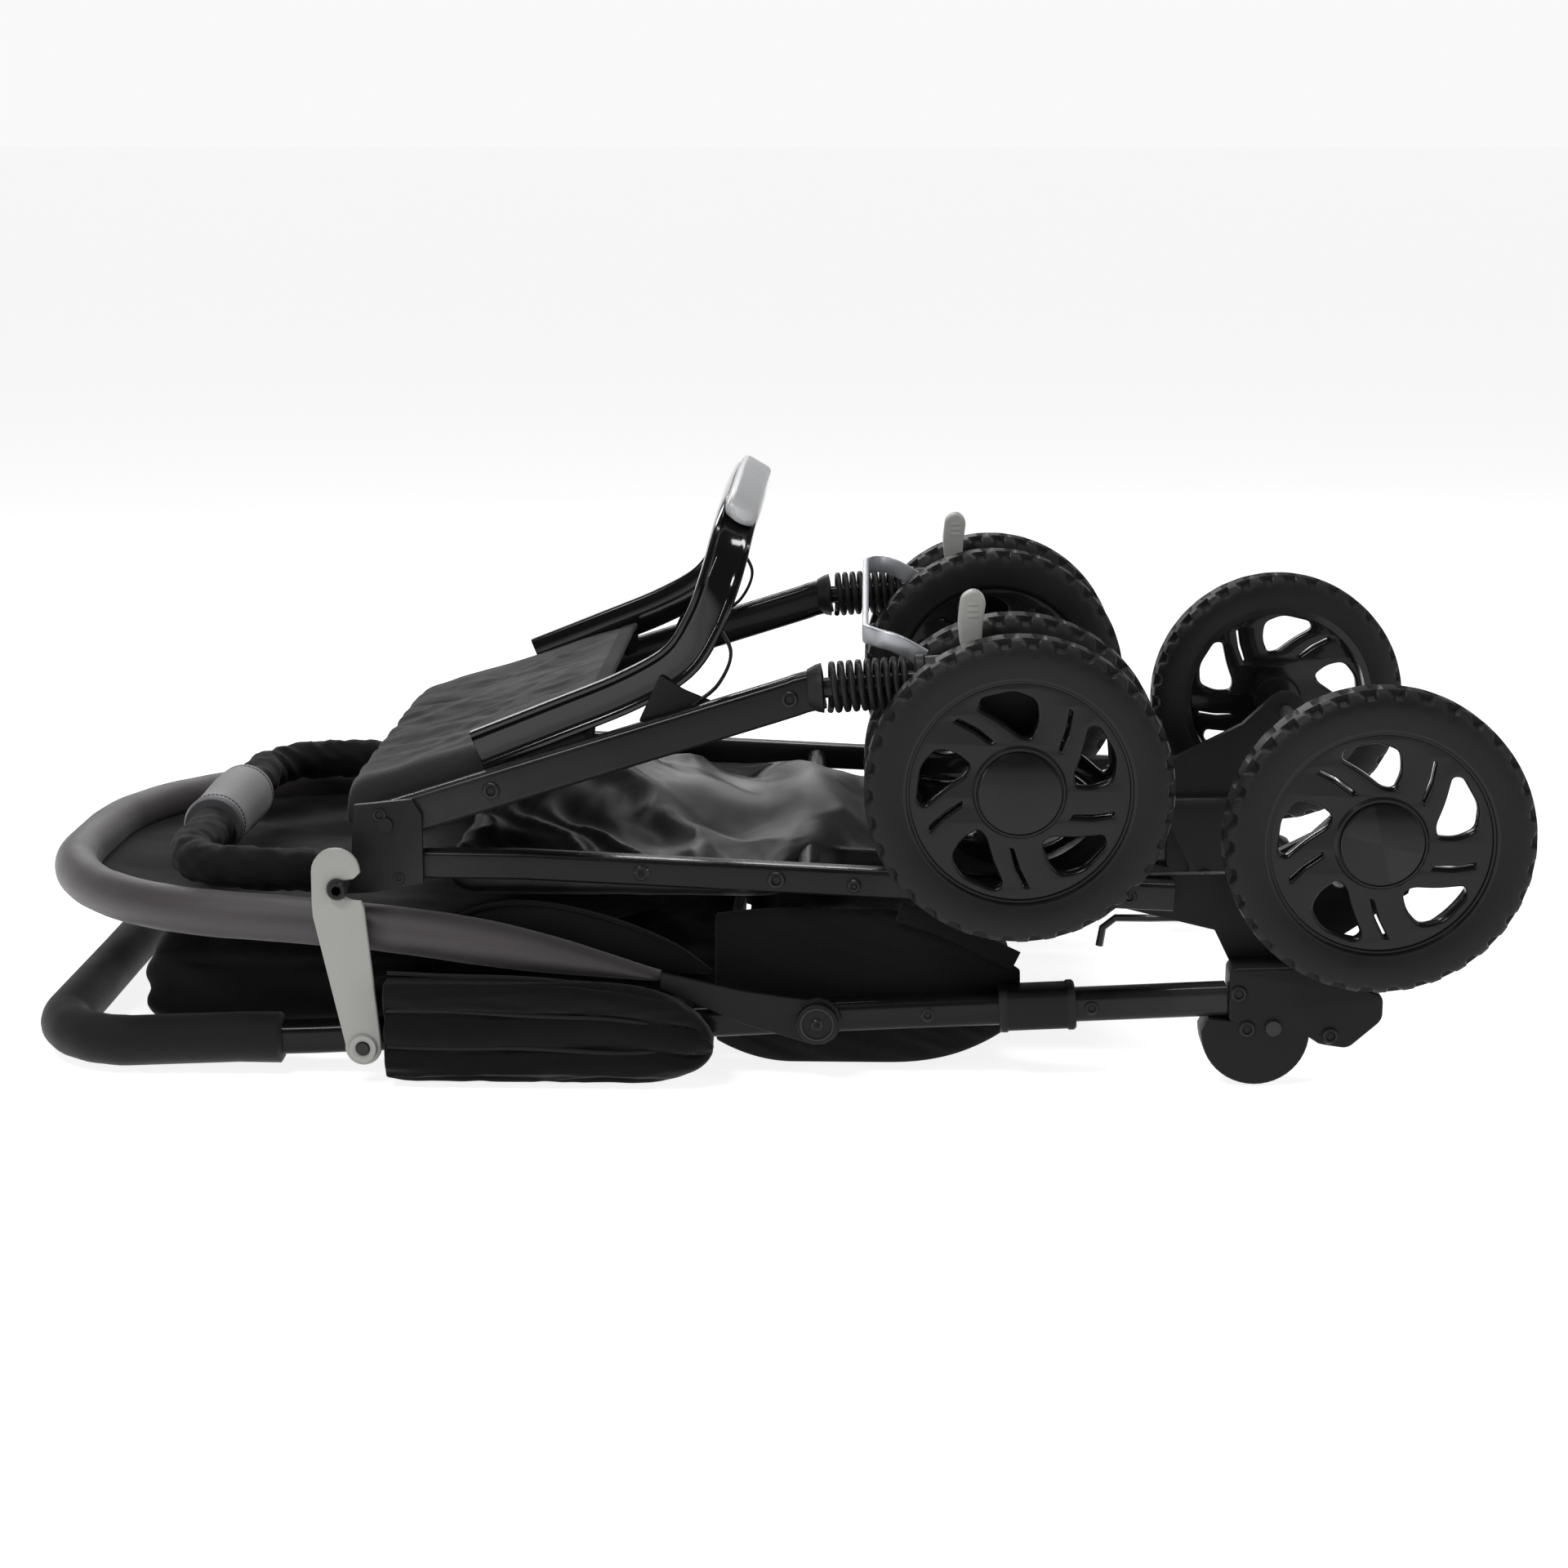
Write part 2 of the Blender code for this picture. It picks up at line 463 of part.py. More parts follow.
def wheels():
    for name, side in SIDES:
        wheel(f"rear_{name}", REAR_AXLE[0], side * REAR_WHEEL_Y, REAR_AXLE[1], PIN_HOLE_R + 0.0001)
        for place, y in (("outer", FRONT_WHEEL_OUT_Y), ("inner", FRONT_WHEEL_IN_Y)):
            wheel(f"front_{place}_{name}", FRONT_AXLE[0], side * y, FRONT_AXLE[1], SMALL_HOLE_R + 0.0001)


handle_frame()
latch()
canopy()
chassis()
front_legs()
front_carriage()
wheels()

# Everything above is drawn from the middle of the handle frame. This puts the origin under the whole part.
for piece in bpy.data.objects:
    piece.location.x += CENTRE_SHIFT
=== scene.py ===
"""Looks of the folded pet stroller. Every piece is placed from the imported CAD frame, in metres, +Z up."""
import json
import math

import bmesh
import bpy
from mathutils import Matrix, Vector, noise


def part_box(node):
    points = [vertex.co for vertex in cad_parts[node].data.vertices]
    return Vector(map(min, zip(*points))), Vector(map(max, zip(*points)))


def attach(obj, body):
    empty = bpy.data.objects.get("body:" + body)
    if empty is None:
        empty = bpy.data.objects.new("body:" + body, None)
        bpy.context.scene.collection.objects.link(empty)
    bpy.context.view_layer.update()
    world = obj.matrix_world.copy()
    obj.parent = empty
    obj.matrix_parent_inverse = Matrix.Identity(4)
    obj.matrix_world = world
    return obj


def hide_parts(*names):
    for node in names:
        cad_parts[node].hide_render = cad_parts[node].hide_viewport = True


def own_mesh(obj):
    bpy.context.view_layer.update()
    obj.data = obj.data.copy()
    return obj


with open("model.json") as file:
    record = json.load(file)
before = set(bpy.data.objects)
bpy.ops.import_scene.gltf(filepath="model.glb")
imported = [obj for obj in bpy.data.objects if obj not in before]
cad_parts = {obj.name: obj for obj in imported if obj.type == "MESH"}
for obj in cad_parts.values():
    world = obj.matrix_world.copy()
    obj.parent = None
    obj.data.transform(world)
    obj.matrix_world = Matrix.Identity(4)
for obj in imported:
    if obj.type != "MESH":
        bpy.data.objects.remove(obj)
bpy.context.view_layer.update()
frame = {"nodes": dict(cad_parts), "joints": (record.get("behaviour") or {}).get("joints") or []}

SIDES = (("left", 1), ("right", -1))
X, Y, Z = Vector((1, 0, 0)), Vector((0, 1, 0)), Vector((0, 0, 1))

# ---- Places read from the frame -------------------------------------------------------------------------
JOINT = {j["name"]: j for j in frame["joints"]}
FOLD = Vector(JOINT["main_fold"]["pos_m"])
LEG_HINGE = Vector(JOINT["front_leg_fold"]["pos_m"])
CANOPY = Vector(JOINT["canopy_fold"]["pos_m"])
LATCH = Vector(JOINT["latch_swing"]["pos_m"])
STEM = Vector(JOINT["suspension"]["axis"]).normalized()


def low(node):
    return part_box(node)[0]


def high(node):
    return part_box(node)[1]


def centre(node):
    a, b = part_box(node)
    return (a + b) / 2


# ---- Materials ------------------------------------------------------------------------------------------
def add(tree, kind, **values):
    """A node with its properties and sockets set. A key such as in_2 sets the third input."""
    node = tree.nodes.new(kind)
    for key, value in values.items():
        if key.startswith("in_"):
            node.inputs[int(key[3:])].default_value = value
        else:
            setattr(node, key, value)
    return node


def surface(name, colour, second, rough, spread, metallic=0.0, patch=25.0, grain=900.0, bump=0.15, depth=0.0003,
            coat=0.0, sheen=0.0, weave=0.0, ribs=0.0, wear=None, specular=0.5):
    """A Principled material with patchy colour, uneven gloss, a grain or a weave whose hollows carry painted shade, and
    worn edges.
    """
    mat = bpy.data.materials.new(name)
    mat.use_nodes = True
    tree = mat.node_tree
    link = tree.links.new
    shader = tree.nodes["Principled BSDF"]
    shader.inputs["Metallic"].default_value = metallic
    shader.inputs["Coat Weight"].default_value = coat
    shader.inputs["Coat Roughness"].default_value = 0.08
    shader.inputs["Sheen Weight"].default_value = sheen
    shader.inputs["Sheen Roughness"].default_value = 0.45
    shader.inputs["Specular IOR Level"].default_value = specular
    coords = add(tree, "ShaderNodeTexCoord")
    patches = add(tree, "ShaderNodeTexNoise", in_2=patch, in_3=5.0, in_4=0.6)
    link(coords.outputs["Object"], patches.inputs["Vector"])
    mix = add(tree, "ShaderNodeMix", data_type="RGBA")
    mix.inputs[6].default_value = (*colour, 1)
    mix.inputs[7].default_value = (*second, 1)
    link(patches.outputs[0], mix.inputs[0])
    tint = mix.outputs[2]
    fine = add(tree, "ShaderNodeTexNoise", in_2=grain, in_3=3.0, in_4=0.6)
    link(coords.outputs["Object"], fine.inputs["Vector"])
    height = fine.outputs[0]
    if weave:
        height, painted_weave_shade = weave_height(tree, coords, weave, height)
        # painted shade: the hollows of the weave are multiplied darker into the colour
        dark = add(tree, "ShaderNodeMix", data_type="RGBA", blend_type="MULTIPLY")
        dark.inputs[0].default_value = 0.55
        link(tint, dark.inputs[6])
        link(painted_weave_shade, dark.inputs[7])
        tint = dark.outputs[2]
    if ribs:
        bands = add(tree, "ShaderNodeTexWave", bands_direction="X", in_1=ribs)
        link(coords.outputs["UV"], bands.inputs[0])
        total = add(tree, "ShaderNodeMath", operation="ADD")
        link(height, total.inputs[0])
        link(bands.outputs["Fac"], total.inputs[1])
        height = total.outputs[0]
    if wear:
        geometry = add(tree, "ShaderNodeNewGeometry")
        edge = add(tree, "ShaderNodeMapRange", in_1=0.53, in_2=0.62, in_3=0.0, in_4=0.55)
        link(geometry.outputs["Pointiness"], edge.inputs[0])
        broken = add(tree, "ShaderNodeMath", operation="MULTIPLY")
        link(edge.outputs[0], broken.inputs[0])
        link(patches.outputs[0], broken.inputs[1])
        worn = add(tree, "ShaderNodeMix", data_type="RGBA")
        worn.inputs[7].default_value = (*wear, 1)
        link(broken.outputs[0], worn.inputs[0])
        link(tint, worn.inputs[6])
        tint = worn.outputs[2]
    link(tint, shader.inputs["Base Color"])
    gloss = add(tree, "ShaderNodeMapRange", in_1=0.3, in_2=0.7, in_3=rough - spread, in_4=rough + spread)
    link(patches.outputs[0], gloss.inputs[0])
    link(gloss.outputs[0], shader.inputs["Roughness"])
    relief = add(tree, "ShaderNodeBump", in_0=bump, in_1=depth)
    link(height, relief.inputs["Height"])
    link(relief.outputs[0], shader.inputs["Normal"])
    mat.diffuse_color = (*colour, 1)
    return mat


def weave_height(tree, coords, scale, grain):
    """Plain weave from crossed waves over the UV map, which is in metres, with a painted shade that darkens the hollows
    between the threads.
    """
    link = tree.links.new
    waves = []
    for direction in ("X", "Y"):
        wave = add(tree, "ShaderNodeTexWave", bands_direction=direction, in_1=scale, in_2=0.6, in_3=1.0)
        link(coords.outputs["UV"], wave.inputs[0])
        waves.append(wave.outputs["Fac"])
    product = add(tree, "ShaderNodeMath", operation="MULTIPLY")
    link(waves[0], product.inputs[0])
    link(waves[1], product.inputs[1])
    total = add(tree, "ShaderNodeMath", operation="MULTIPLY_ADD", in_1=0.35)
    link(grain, total.inputs[0])
    link(product.outputs[0], total.inputs[2])
    # painted shade, darker where the weave's height is low
    painted_weave_shade = add(tree, "ShaderNodeMapRange", in_1=0.0, in_2=1.0, in_3=0.55, in_4=1.0)
    link(product.outputs[0], painted_weave_shade.inputs[0])
    return total.outputs[0], painted_weave_shade.outputs[0]


PAINT = surface("black_paint_finish", (0.0045, 0.0045, 0.0050), (0.0075, 0.0075, 0.0080), 0.27, 0.06, grain=1400, bump=0.10,
                wear=(0.09, 0.09, 0.09), coat=0.15, specular=0.11)
PLASTIC = surface("black_plastic_finish", (0.0055, 0.0055, 0.0055), (0.0095, 0.0095, 0.0100), 0.42, 0.07, grain=1900,
                  bump=0.18, wear=(0.06, 0.06, 0.06),
                specular=0.16)
RIM = surface("wheel_rim_finish", (0.0045, 0.0045, 0.0045), (0.0075, 0.0075, 0.0075), 0.24, 0.05, grain=1500, bump=0.08,
              wear=(0.04, 0.04, 0.04), coat=0.26, specular=0.12)
GLOSS = surface("gloss_black_finish", (0.0025, 0.0025, 0.0025), (0.0045, 0.0045, 0.0045), 0.09, 0.03, grain=500, bump=0.02,
                coat=0.45, specular=0.3)
GREY = surface("grey_plastic_finish", (0.270, 0.275, 0.258), (0.320, 0.325, 0.305), 0.44, 0.06, grain=1600, bump=0.15,
               wear=(0.46, 0.46, 0.44))
PAD_GREY = surface("arch_pad_finish", (0.330, 0.335, 0.345), (0.400, 0.405, 0.415), 0.36, 0.06, grain=1300, bump=0.12)
FOAM = surface("foam_finish", (0.0065, 0.0065, 0.0065), (0.0115, 0.0115, 0.0115), 0.62, 0.08, grain=2200, bump=0.45,
               depth=0.0005, sheen=0.15,
                specular=0.12)
TYRE = surface("tyre_finish", (0.0065, 0.0065, 0.0065), (0.0120, 0.0120, 0.0115), 0.50, 0.08, grain=1100, bump=0.22,
               wear=(0.05, 0.05, 0.05),
                specular=0.18)
CLOTH = surface("black_cloth", (0.0040, 0.0040, 0.0043), (0.0075, 0.0075, 0.0080), 0.72, 0.08, patch=14, weave=330,
                bump=0.5, sheen=0.10, grain=1500,
                specular=0.08)
CHARCOAL = surface("charcoal_cloth", (0.0100, 0.0100, 0.0110), (0.0170, 0.0170, 0.0184), 0.70, 0.08, patch=14, weave=300,
                   bump=0.5, sheen=0.16, grain=1500,
                specular=0.14)
COVER = surface("grey_cover_cloth", (0.040, 0.0325, 0.0355), (0.056, 0.046, 0.050), 0.50, 0.06, patch=9, weave=420,
                bump=0.30, sheen=0.25, grain=1600)
CUFF = surface("cuff_cloth", (0.075, 0.073, 0.080), (0.098, 0.095, 0.104), 0.48, 0.05, patch=10, weave=420,
               bump=0.30, sheen=0.4, grain=1600)
STEEL = surface("steel_finish", (0.48, 0.48, 0.50), (0.60, 0.60, 0.61), 0.28, 0.08, metallic=1.0, grain=700, bump=0.08)
ALLOY = surface("crossbar_finish", (0.42, 0.43, 0.46), (0.52, 0.53, 0.56), 0.38, 0.06, metallic=0.85, grain=900,
                bump=0.10)
SATIN = surface("satin_lining", (0.0035, 0.0034, 0.0038), (0.0070, 0.0068, 0.0076), 0.40, 0.07, patch=9, weave=420,
                bump=0.22, sheen=0.12, grain=1600, specular=0.38)
THREAD = surface("thread", (0.020, 0.020, 0.021), (0.035, 0.035, 0.036), 0.65, 0.08, grain=2500, bump=0.4,
                specular=0.2)


# ---- Shapes ---------------------------------------------------------------------------------------------
class Shape:
    """Vertices and faces with UVs in metres, so that several shapes can make one piece."""

    def __init__(self):
        self.verts, self.faces, self.uvs = [], [], []

    def quad(self, corners, uvs=None):
        self.faces.append(corners)
        self.uvs.append(uvs or [(0.0, 0.0)] * len(corners))


def loft(rings, caps=True, closed=True):
    """Quads between rings of points. The ends are closed with a fan to their middle."""
    shape = Shape()
    count = len(rings[0])
    for ring in rings:
        shape.verts += [Vector(p) for p in ring]
    along = [0.0]
    for a, b in zip(rings, rings[1:]):
        along.append(along[-1] + (Vector(b[0]) - Vector(a[0])).length)
    middle = rings[len(rings) // 2]
    around = [0.0]
    for i in range(count):
        around.append(around[-1] + (Vector(middle[(i + 1) % count]) - Vector(middle[i])).length)
    last = count if closed else count - 1
    for r in range(len(rings) - 1):
        for i in range(last):
            j = (i + 1) % count
            shape.quad(
                [r * count + i, r * count + j, (r + 1) * count + j, (r + 1) * count + i],
                [(around[i], along[r]), (around[i + 1], along[r]), (around[i + 1], along[r + 1]),
                 (around[i], along[r + 1])])
    if caps:
        for r in (0, len(rings) - 1):
            middle_point = sum((Vector(p) for p in rings[r]), Vector()) / count
            shape.verts.append(middle_point)
            tip = len(shape.verts) - 1
            for i in range(count):
                shape.quad([tip, r * count + i, r * count + (i + 1) % count])
    return shape


def lathe(profile, origin, axis, count=48, hollow=False):
    """Turns (radius, distance) points about an axis. A hollow one joins its last ring to its first."""
    along = Vector(axis).normalized()
    across = along.orthogonal().normalized()
    up = along.cross(across)
    rings = []
    for radius, distance in profile:
        base = Vector(origin) + distance * along
        ring = []
        for i in range(count):
            angle = 2 * math.pi * i / count
            ring.append(base + max(radius, 1e-5) * (math.cos(angle) * across + math.sin(angle) * up))
        rings.append(ring)
    if hollow:
        return loft(rings + rings[:1], caps=False)
    return loft(rings)


def smooth_line(points, steps):
    """A Catmull-Rom curve through the points."""
    pts = [Vector(p) for p in points]
    ext = [2 * pts[0] - pts[1]] + pts + [2 * pts[-1] - pts[-2]]
    line = []
    for i in range(1, len(ext) - 2):
        a, b, c, d = ext[i - 1:i + 3]
        for s in range(steps):
            t = s / steps
            line.append(0.5 * (2 * b + (c - a) * t + (2 * a - 5 * b + 4 * c - d) * t * t
                               + (3 * b - a - 3 * c + d) * t ** 3))
    line.append(pts[-1])
    return line


def frames(path, ref):
    """Tangent and two square directions at each point of a path."""
    found = []
    for i, point in enumerate(path):
        tangent = (path[min(i + 1, len(path) - 1)] - path[max(i - 1, 0)]).normalized()
        u_dir = (ref - ref.dot(tangent) * tangent).normalized()
        found.append((point, tangent, u_dir, tangent.cross(u_dir)))
    return found


def bar(path, section, ref=Y):
    """A section of (u, v) points swept along a path. section may also be a function of the index and the share."""
    rings = []
    steps = frames([Vector(p) for p in path], ref)
    for i, (point, _, u_dir, v_dir) in enumerate(steps):
        pts = section(i, i / (len(steps) - 1)) if callable(section) else section
        rings.append([point + u * u_dir + v * v_dir for u, v in pts])
    return loft(rings)


def oval(radius_u, radius_v, count=24):
    turn = 2 * math.pi / count
    return [(radius_u * math.cos(i * turn), radius_v * math.sin(i * turn)) for i in range(count)]


def soft_box(width, height, corner, per_corner=4):
    """A rectangle with round corners."""
    points = []
    for k, (su, sv) in enumerate(((1, 1), (-1, 1), (-1, -1), (1, -1))):
        for i in range(per_corner + 1):
            angle = math.radians(90 * k + 90 * i / per_corner)
            points.append((su * (width / 2 - corner) + corner * math.cos(angle),
                           sv * (height / 2 - corner) + corner * math.sin(angle)))
    return points


def rounded(points, radius, steps=5):
    """A flat polygon with each corner turned into a curve."""
    out = []
    pts = [Vector((p[0], p[1])) for p in points]
    for i, p in enumerate(pts):
        before, after = pts[i - 1], pts[(i + 1) % len(pts)]
        r = min(radius, (before - p).length * 0.48, (after - p).length * 0.48)
        a, b = p + (before - p).normalized() * r, p + (after - p).normalized() * r
        for s in range(steps + 1):
            t = s / steps
            out.append(tuple((1 - t) ** 2 * a + 2 * t * (1 - t) * p + t * t * b))
    return out


def ring_points(x, z, radius, count=24, start=0.0, sweep=360.0):
    """Points round a circle, or along part of one, in the plane of the side."""
    total = count if sweep == 360.0 else count + 1
    return [(x + radius * math.cos(math.radians(start + sweep * i / count)),
             z + radius * math.sin(math.radians(start + sweep * i / count))) for i in range(total)]


def slab(outline, holes, y_low, y_high, edge):
    """A plate in the XZ plane with holes and rounded edges, made from a filled curve."""
    curve = bpy.data.curves.new("slab", "CURVE")
    curve.dimensions = "2D"
    curve.fill_mode = "BOTH"
    half = abs(y_high - y_low) / 2
    edge = min(edge, half * 0.9)
    curve.extrude = half - edge
    curve.bevel_depth = edge
    curve.bevel_resolution = 2
    for points in [outline, *holes]:
        spline = curve.splines.new("POLY")
        spline.points.add(len(points) - 1)
        for item, (px, pz) in zip(spline.points, points):
            item.co = (px, pz, 0.0, 1.0)
        spline.use_cyclic_u = True
    temp = bpy.data.objects.new("slab", curve)
    bpy.context.scene.collection.objects.link(temp)
    mesh = bpy.data.meshes.new_from_object(temp)
    shape = Shape()
    middle = (y_low + y_high) / 2
    shape.verts = [Vector((v.co.x, middle - v.co.z, v.co.y)) for v in mesh.vertices]
    for poly in mesh.polygons:
        corners = list(poly.vertices)
        shape.quad(corners, [(shape.verts[c].x, shape.verts[c].z) for c in corners])
    bpy.data.objects.remove(temp, do_unlink=True)
    bpy.data.curves.remove(curve)
    bpy.data.meshes.remove(mesh)
    return shape


def piece(name, shapes, mat, body, replaces=(), angle=38, merge=1e-5, subdivide=0):
    """Joins shapes into one object that rides on a body."""
    mesh = bpy.data.meshes.new(name)
    verts, faces, uvs = [], [], []
    for shape in shapes:
        base = len(verts)
        verts += shape.verts
        faces += [[base + c for c in face] for face in shape.faces]
        uvs += [uv for face in shape.uvs for uv in face]
    mesh.from_pydata([tuple(v) for v in verts], [], faces)
    layer = mesh.uv_layers.new(name="UVMap")
    for loop, uv in zip(layer.data, uvs):
        loop.uv = uv
    bm = bmesh.new()
    bm.from_mesh(mesh)
    bmesh.ops.remove_doubles(bm, verts=bm.verts, dist=merge)
    bmesh.ops.dissolve_degenerate(bm, edges=bm.edges, dist=merge / 2)
    bmesh.ops.recalc_face_normals(bm, faces=bm.faces)
    bm.to_mesh(mesh)
    bm.free()
    mesh.shade_smooth()
    mesh.set_sharp_from_angle(angle=math.radians(angle))
    mesh.materials.append(mat)
    obj = bpy.data.objects.new(name, mesh)
    bpy.context.scene.collection.objects.link(obj)
    if subdivide:
        mod = obj.modifiers.new("subdivide", "SUBSURF")
        mod.levels = mod.render_levels = subdivide
    return settle(obj, body, replaces)


def settle(obj, body, replaces=()):
    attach(obj, body)
    if replaces:
        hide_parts(*replaces)
    return obj


def refined(node, mat, body, bevel=0.0012, name=None):
    """A copy of a CAD node with merged flat faces and rounded edges."""
    bm = bmesh.new()
    bm.from_mesh(frame["nodes"][node].data)
    bmesh.ops.remove_doubles(bm, verts=bm.verts, dist=2e-5)
    bmesh.ops.dissolve_limit(bm, angle_limit=math.radians(2), verts=bm.verts, edges=bm.edges)
    mesh = bpy.data.meshes.new(name or node + "_fine")
    bm.to_mesh(mesh)
    bm.free()
    mesh.materials.append(mat)
    mesh.shade_smooth()
    mesh.set_sharp_from_angle(angle=math.radians(35))
    obj = bpy.data.objects.new(name or node + "_fine", mesh)
    bpy.context.scene.collection.objects.link(obj)
    mod = obj.modifiers.new("edges", "BEVEL")
    mod.width = bevel
    mod.segments = 3
    mod.limit_method = "ANGLE"
    mod.angle_limit = math.radians(30)
    mod.harden_normals = True
    return settle(obj, body, [node])


def rivet(x, z, side, y_face, radius=0.0055, height=0.0022):
    """A domed rivet head with a dimple, on an outward face."""
    profile = [(radius, -0.001), (radius, height * 0.35), (radius * 0.86, height * 0.85), (radius * 0.55, height),
               (radius * 0.42, height * 0.55), (0.0, height * 0.5)]
    return lathe(profile, (x, side * y_face, z), (0, side, 0), 24)


def bolt(x, z, side, y_face, radius=0.006, height=0.005):
    """A round-headed bolt with a hexagon socket."""
    head = lathe([(radius, -0.001), (radius, height * 0.6), (radius * 0.8, height), (radius * 0.45, height)],
                 (x, side * y_face, z), (0, side, 0), 32)
    socket = lathe([(radius * 0.5, height), (radius * 0.46, height * 0.4), (0.0, height * 0.4)],
                   (x, side * y_face, z), (0, side, 0), 6)
    return [head, socket]


# ---- Camera, lights and floor -----------------------------------------------------------------------------
def camera():
    azimuth, elevation, distance = math.radians(1.6), math.radians(12.5), 2.05
    target = Vector((0.0166, 0.0, 0.1465))
    view = Vector((-math.sin(azimuth) * math.cos(elevation), math.cos(azimuth) * math.cos(elevation),
                   -math.sin(elevation)))
    data = bpy.data.cameras.new("camera")
    data.sensor_width = 36.0
    data.lens = 67.5
    obj = bpy.data.objects.new("camera", data)
    obj.location = target - distance * view
    obj.rotation_euler = view.to_track_quat("-Z", "Y").to_euler()
    bpy.context.scene.collection.objects.link(obj)
    bpy.context.scene.camera = obj


def area_light(name, location, aim, size, power, colour=(1, 1, 1)):
    data = bpy.data.lights.new(name, "AREA")
    data.shape = "RECTANGLE"
    data.size, data.size_y = size
    data.energy = power
    data.color = colour
    obj = bpy.data.objects.new(name, data)
    obj.location = location
    obj.rotation_euler = (Vector(aim) - Vector(location)).to_track_quat("-Z", "Y").to_euler()
    bpy.context.scene.collection.objects.link(obj)


def studio():
    world = bpy.data.worlds.new("studio")
    bpy.context.scene.world = world
    world.use_nodes = True
    tree = world.node_tree
    background = tree.nodes["Background"]
    sky = add(tree, "ShaderNodeTexCoord")
    split = add(tree, "ShaderNodeSeparateXYZ")
    tree.links.new(sky.outputs["Generated"], split.inputs[0])
    fade = add(tree, "ShaderNodeMapRange", in_1=0.045, in_2=0.22, in_3=0.95, in_4=0.08)
    tree.links.new(split.outputs[2], fade.inputs[0])
    tree.links.new(fade.outputs[0], background.inputs[1])
    background.inputs[0].default_value = (1, 1, 1, 1)
    area_light("key", (-0.9, -1.5, 2.1), (0, 0, 0.1), (0.9, 0.35), 24)
    area_light("top", (0.1, 0.5, 2.3), (0.0, 0.0, 0.1), (2.2, 0.35), 30)
    area_light("side", (2.0, -1.0, 1.1), (0.1, 0, 0.15), (0.07, 1.2), 8)
    area_light("front", (-1.6, -1.7, 0.9), (0.1, 0, 0.15), (0.07, 0.9), 5)
    area_light("back", (-0.6, 2.2, 1.2), (0.0, 0, 0.15), (1.6, 0.3), 14)
    mesh = bpy.data.meshes.new("floor")
    size = 120.0
    mesh.from_pydata([(-size, -size, 0), (size, -size, 0), (size, size, 0), (-size, size, 0)], [], [(0, 1, 2, 3)])
    floor = bpy.data.objects.new("floor", mesh)
    floor.location.z = -0.0012
    bpy.context.scene.collection.objects.link(floor)
    paper = surface("floor_finish", (0.50, 0.50, 0.50), (0.52, 0.52, 0.52), 0.75, 0.03, patch=2, grain=40, bump=0.0)
    shader = paper.node_tree.nodes["Principled BSDF"]
    shader.inputs["Emission Color"].default_value = (1, 1, 1, 1)
    shader.inputs["Emission Strength"].default_value = 0.86
    mesh.materials.append(paper)
    bpy.context.scene.view_settings.view_transform = "Standard"


# ---- Wheels -------------------------------------------------------------------------------------------------
def polar(x, z, radius, degrees):
    angle = math.radians(degrees)
    return (x + radius * math.cos(angle), z + radius * math.sin(angle))


def tyre_shape(mid, radius, half):
    """A moulded tyre: plain side walls and a tread of staggered lugs."""
    lugs, per_lug = 34, 8
    rows = [(-0.0150, 0.0710, 0), (-0.0172, 0.0760, 0), (-0.0180, 0.0835, 0), (-0.0172, 0.0882, 0.0),
            (-0.0160, 0.0915, 0.5), (-0.0130, 0.0943, 1.0), (-0.0085, 0.0953, 1.0), (-0.0080, 0.0953, 0.0),
            (-0.0035, 0.0955, 0.6), (0.0035, 0.0955, 0.6), (0.0080, 0.0953, 0.0), (0.0085, 0.0953, -1.0),
            (0.0130, 0.0943, -1.0), (0.0160, 0.0915, -0.5), (0.0172, 0.0882, 0.0), (0.0180, 0.0835, 0),
            (0.0172, 0.0760, 0), (0.0150, 0.0710, 0)]
    scale_r, scale_y = radius / 0.0955, half / 0.018
    rings = []
    for y, r, depth in rows:
        ring = []
        for i in range(lugs * per_lug):
            phase = (i / per_lug + (0.5 if depth < 0 else 0.25 if depth == 0.6 else 0.0)) % 1.0
            cut = 0.0034 * abs(depth) if phase < 0.30 else 0.0
            if 0.30 <= phase < 0.42 and abs(depth) == 1.0:
                cut = 0.0012
            angle = 2 * math.pi * i / (lugs * per_lug)
            rr = (r - cut) * scale_r
            ring.append((mid.x + rr * math.cos(angle), mid.y + y * scale_y, mid.z + rr * math.sin(angle)))
        rings.append(ring)
    return loft(rings, caps=False)


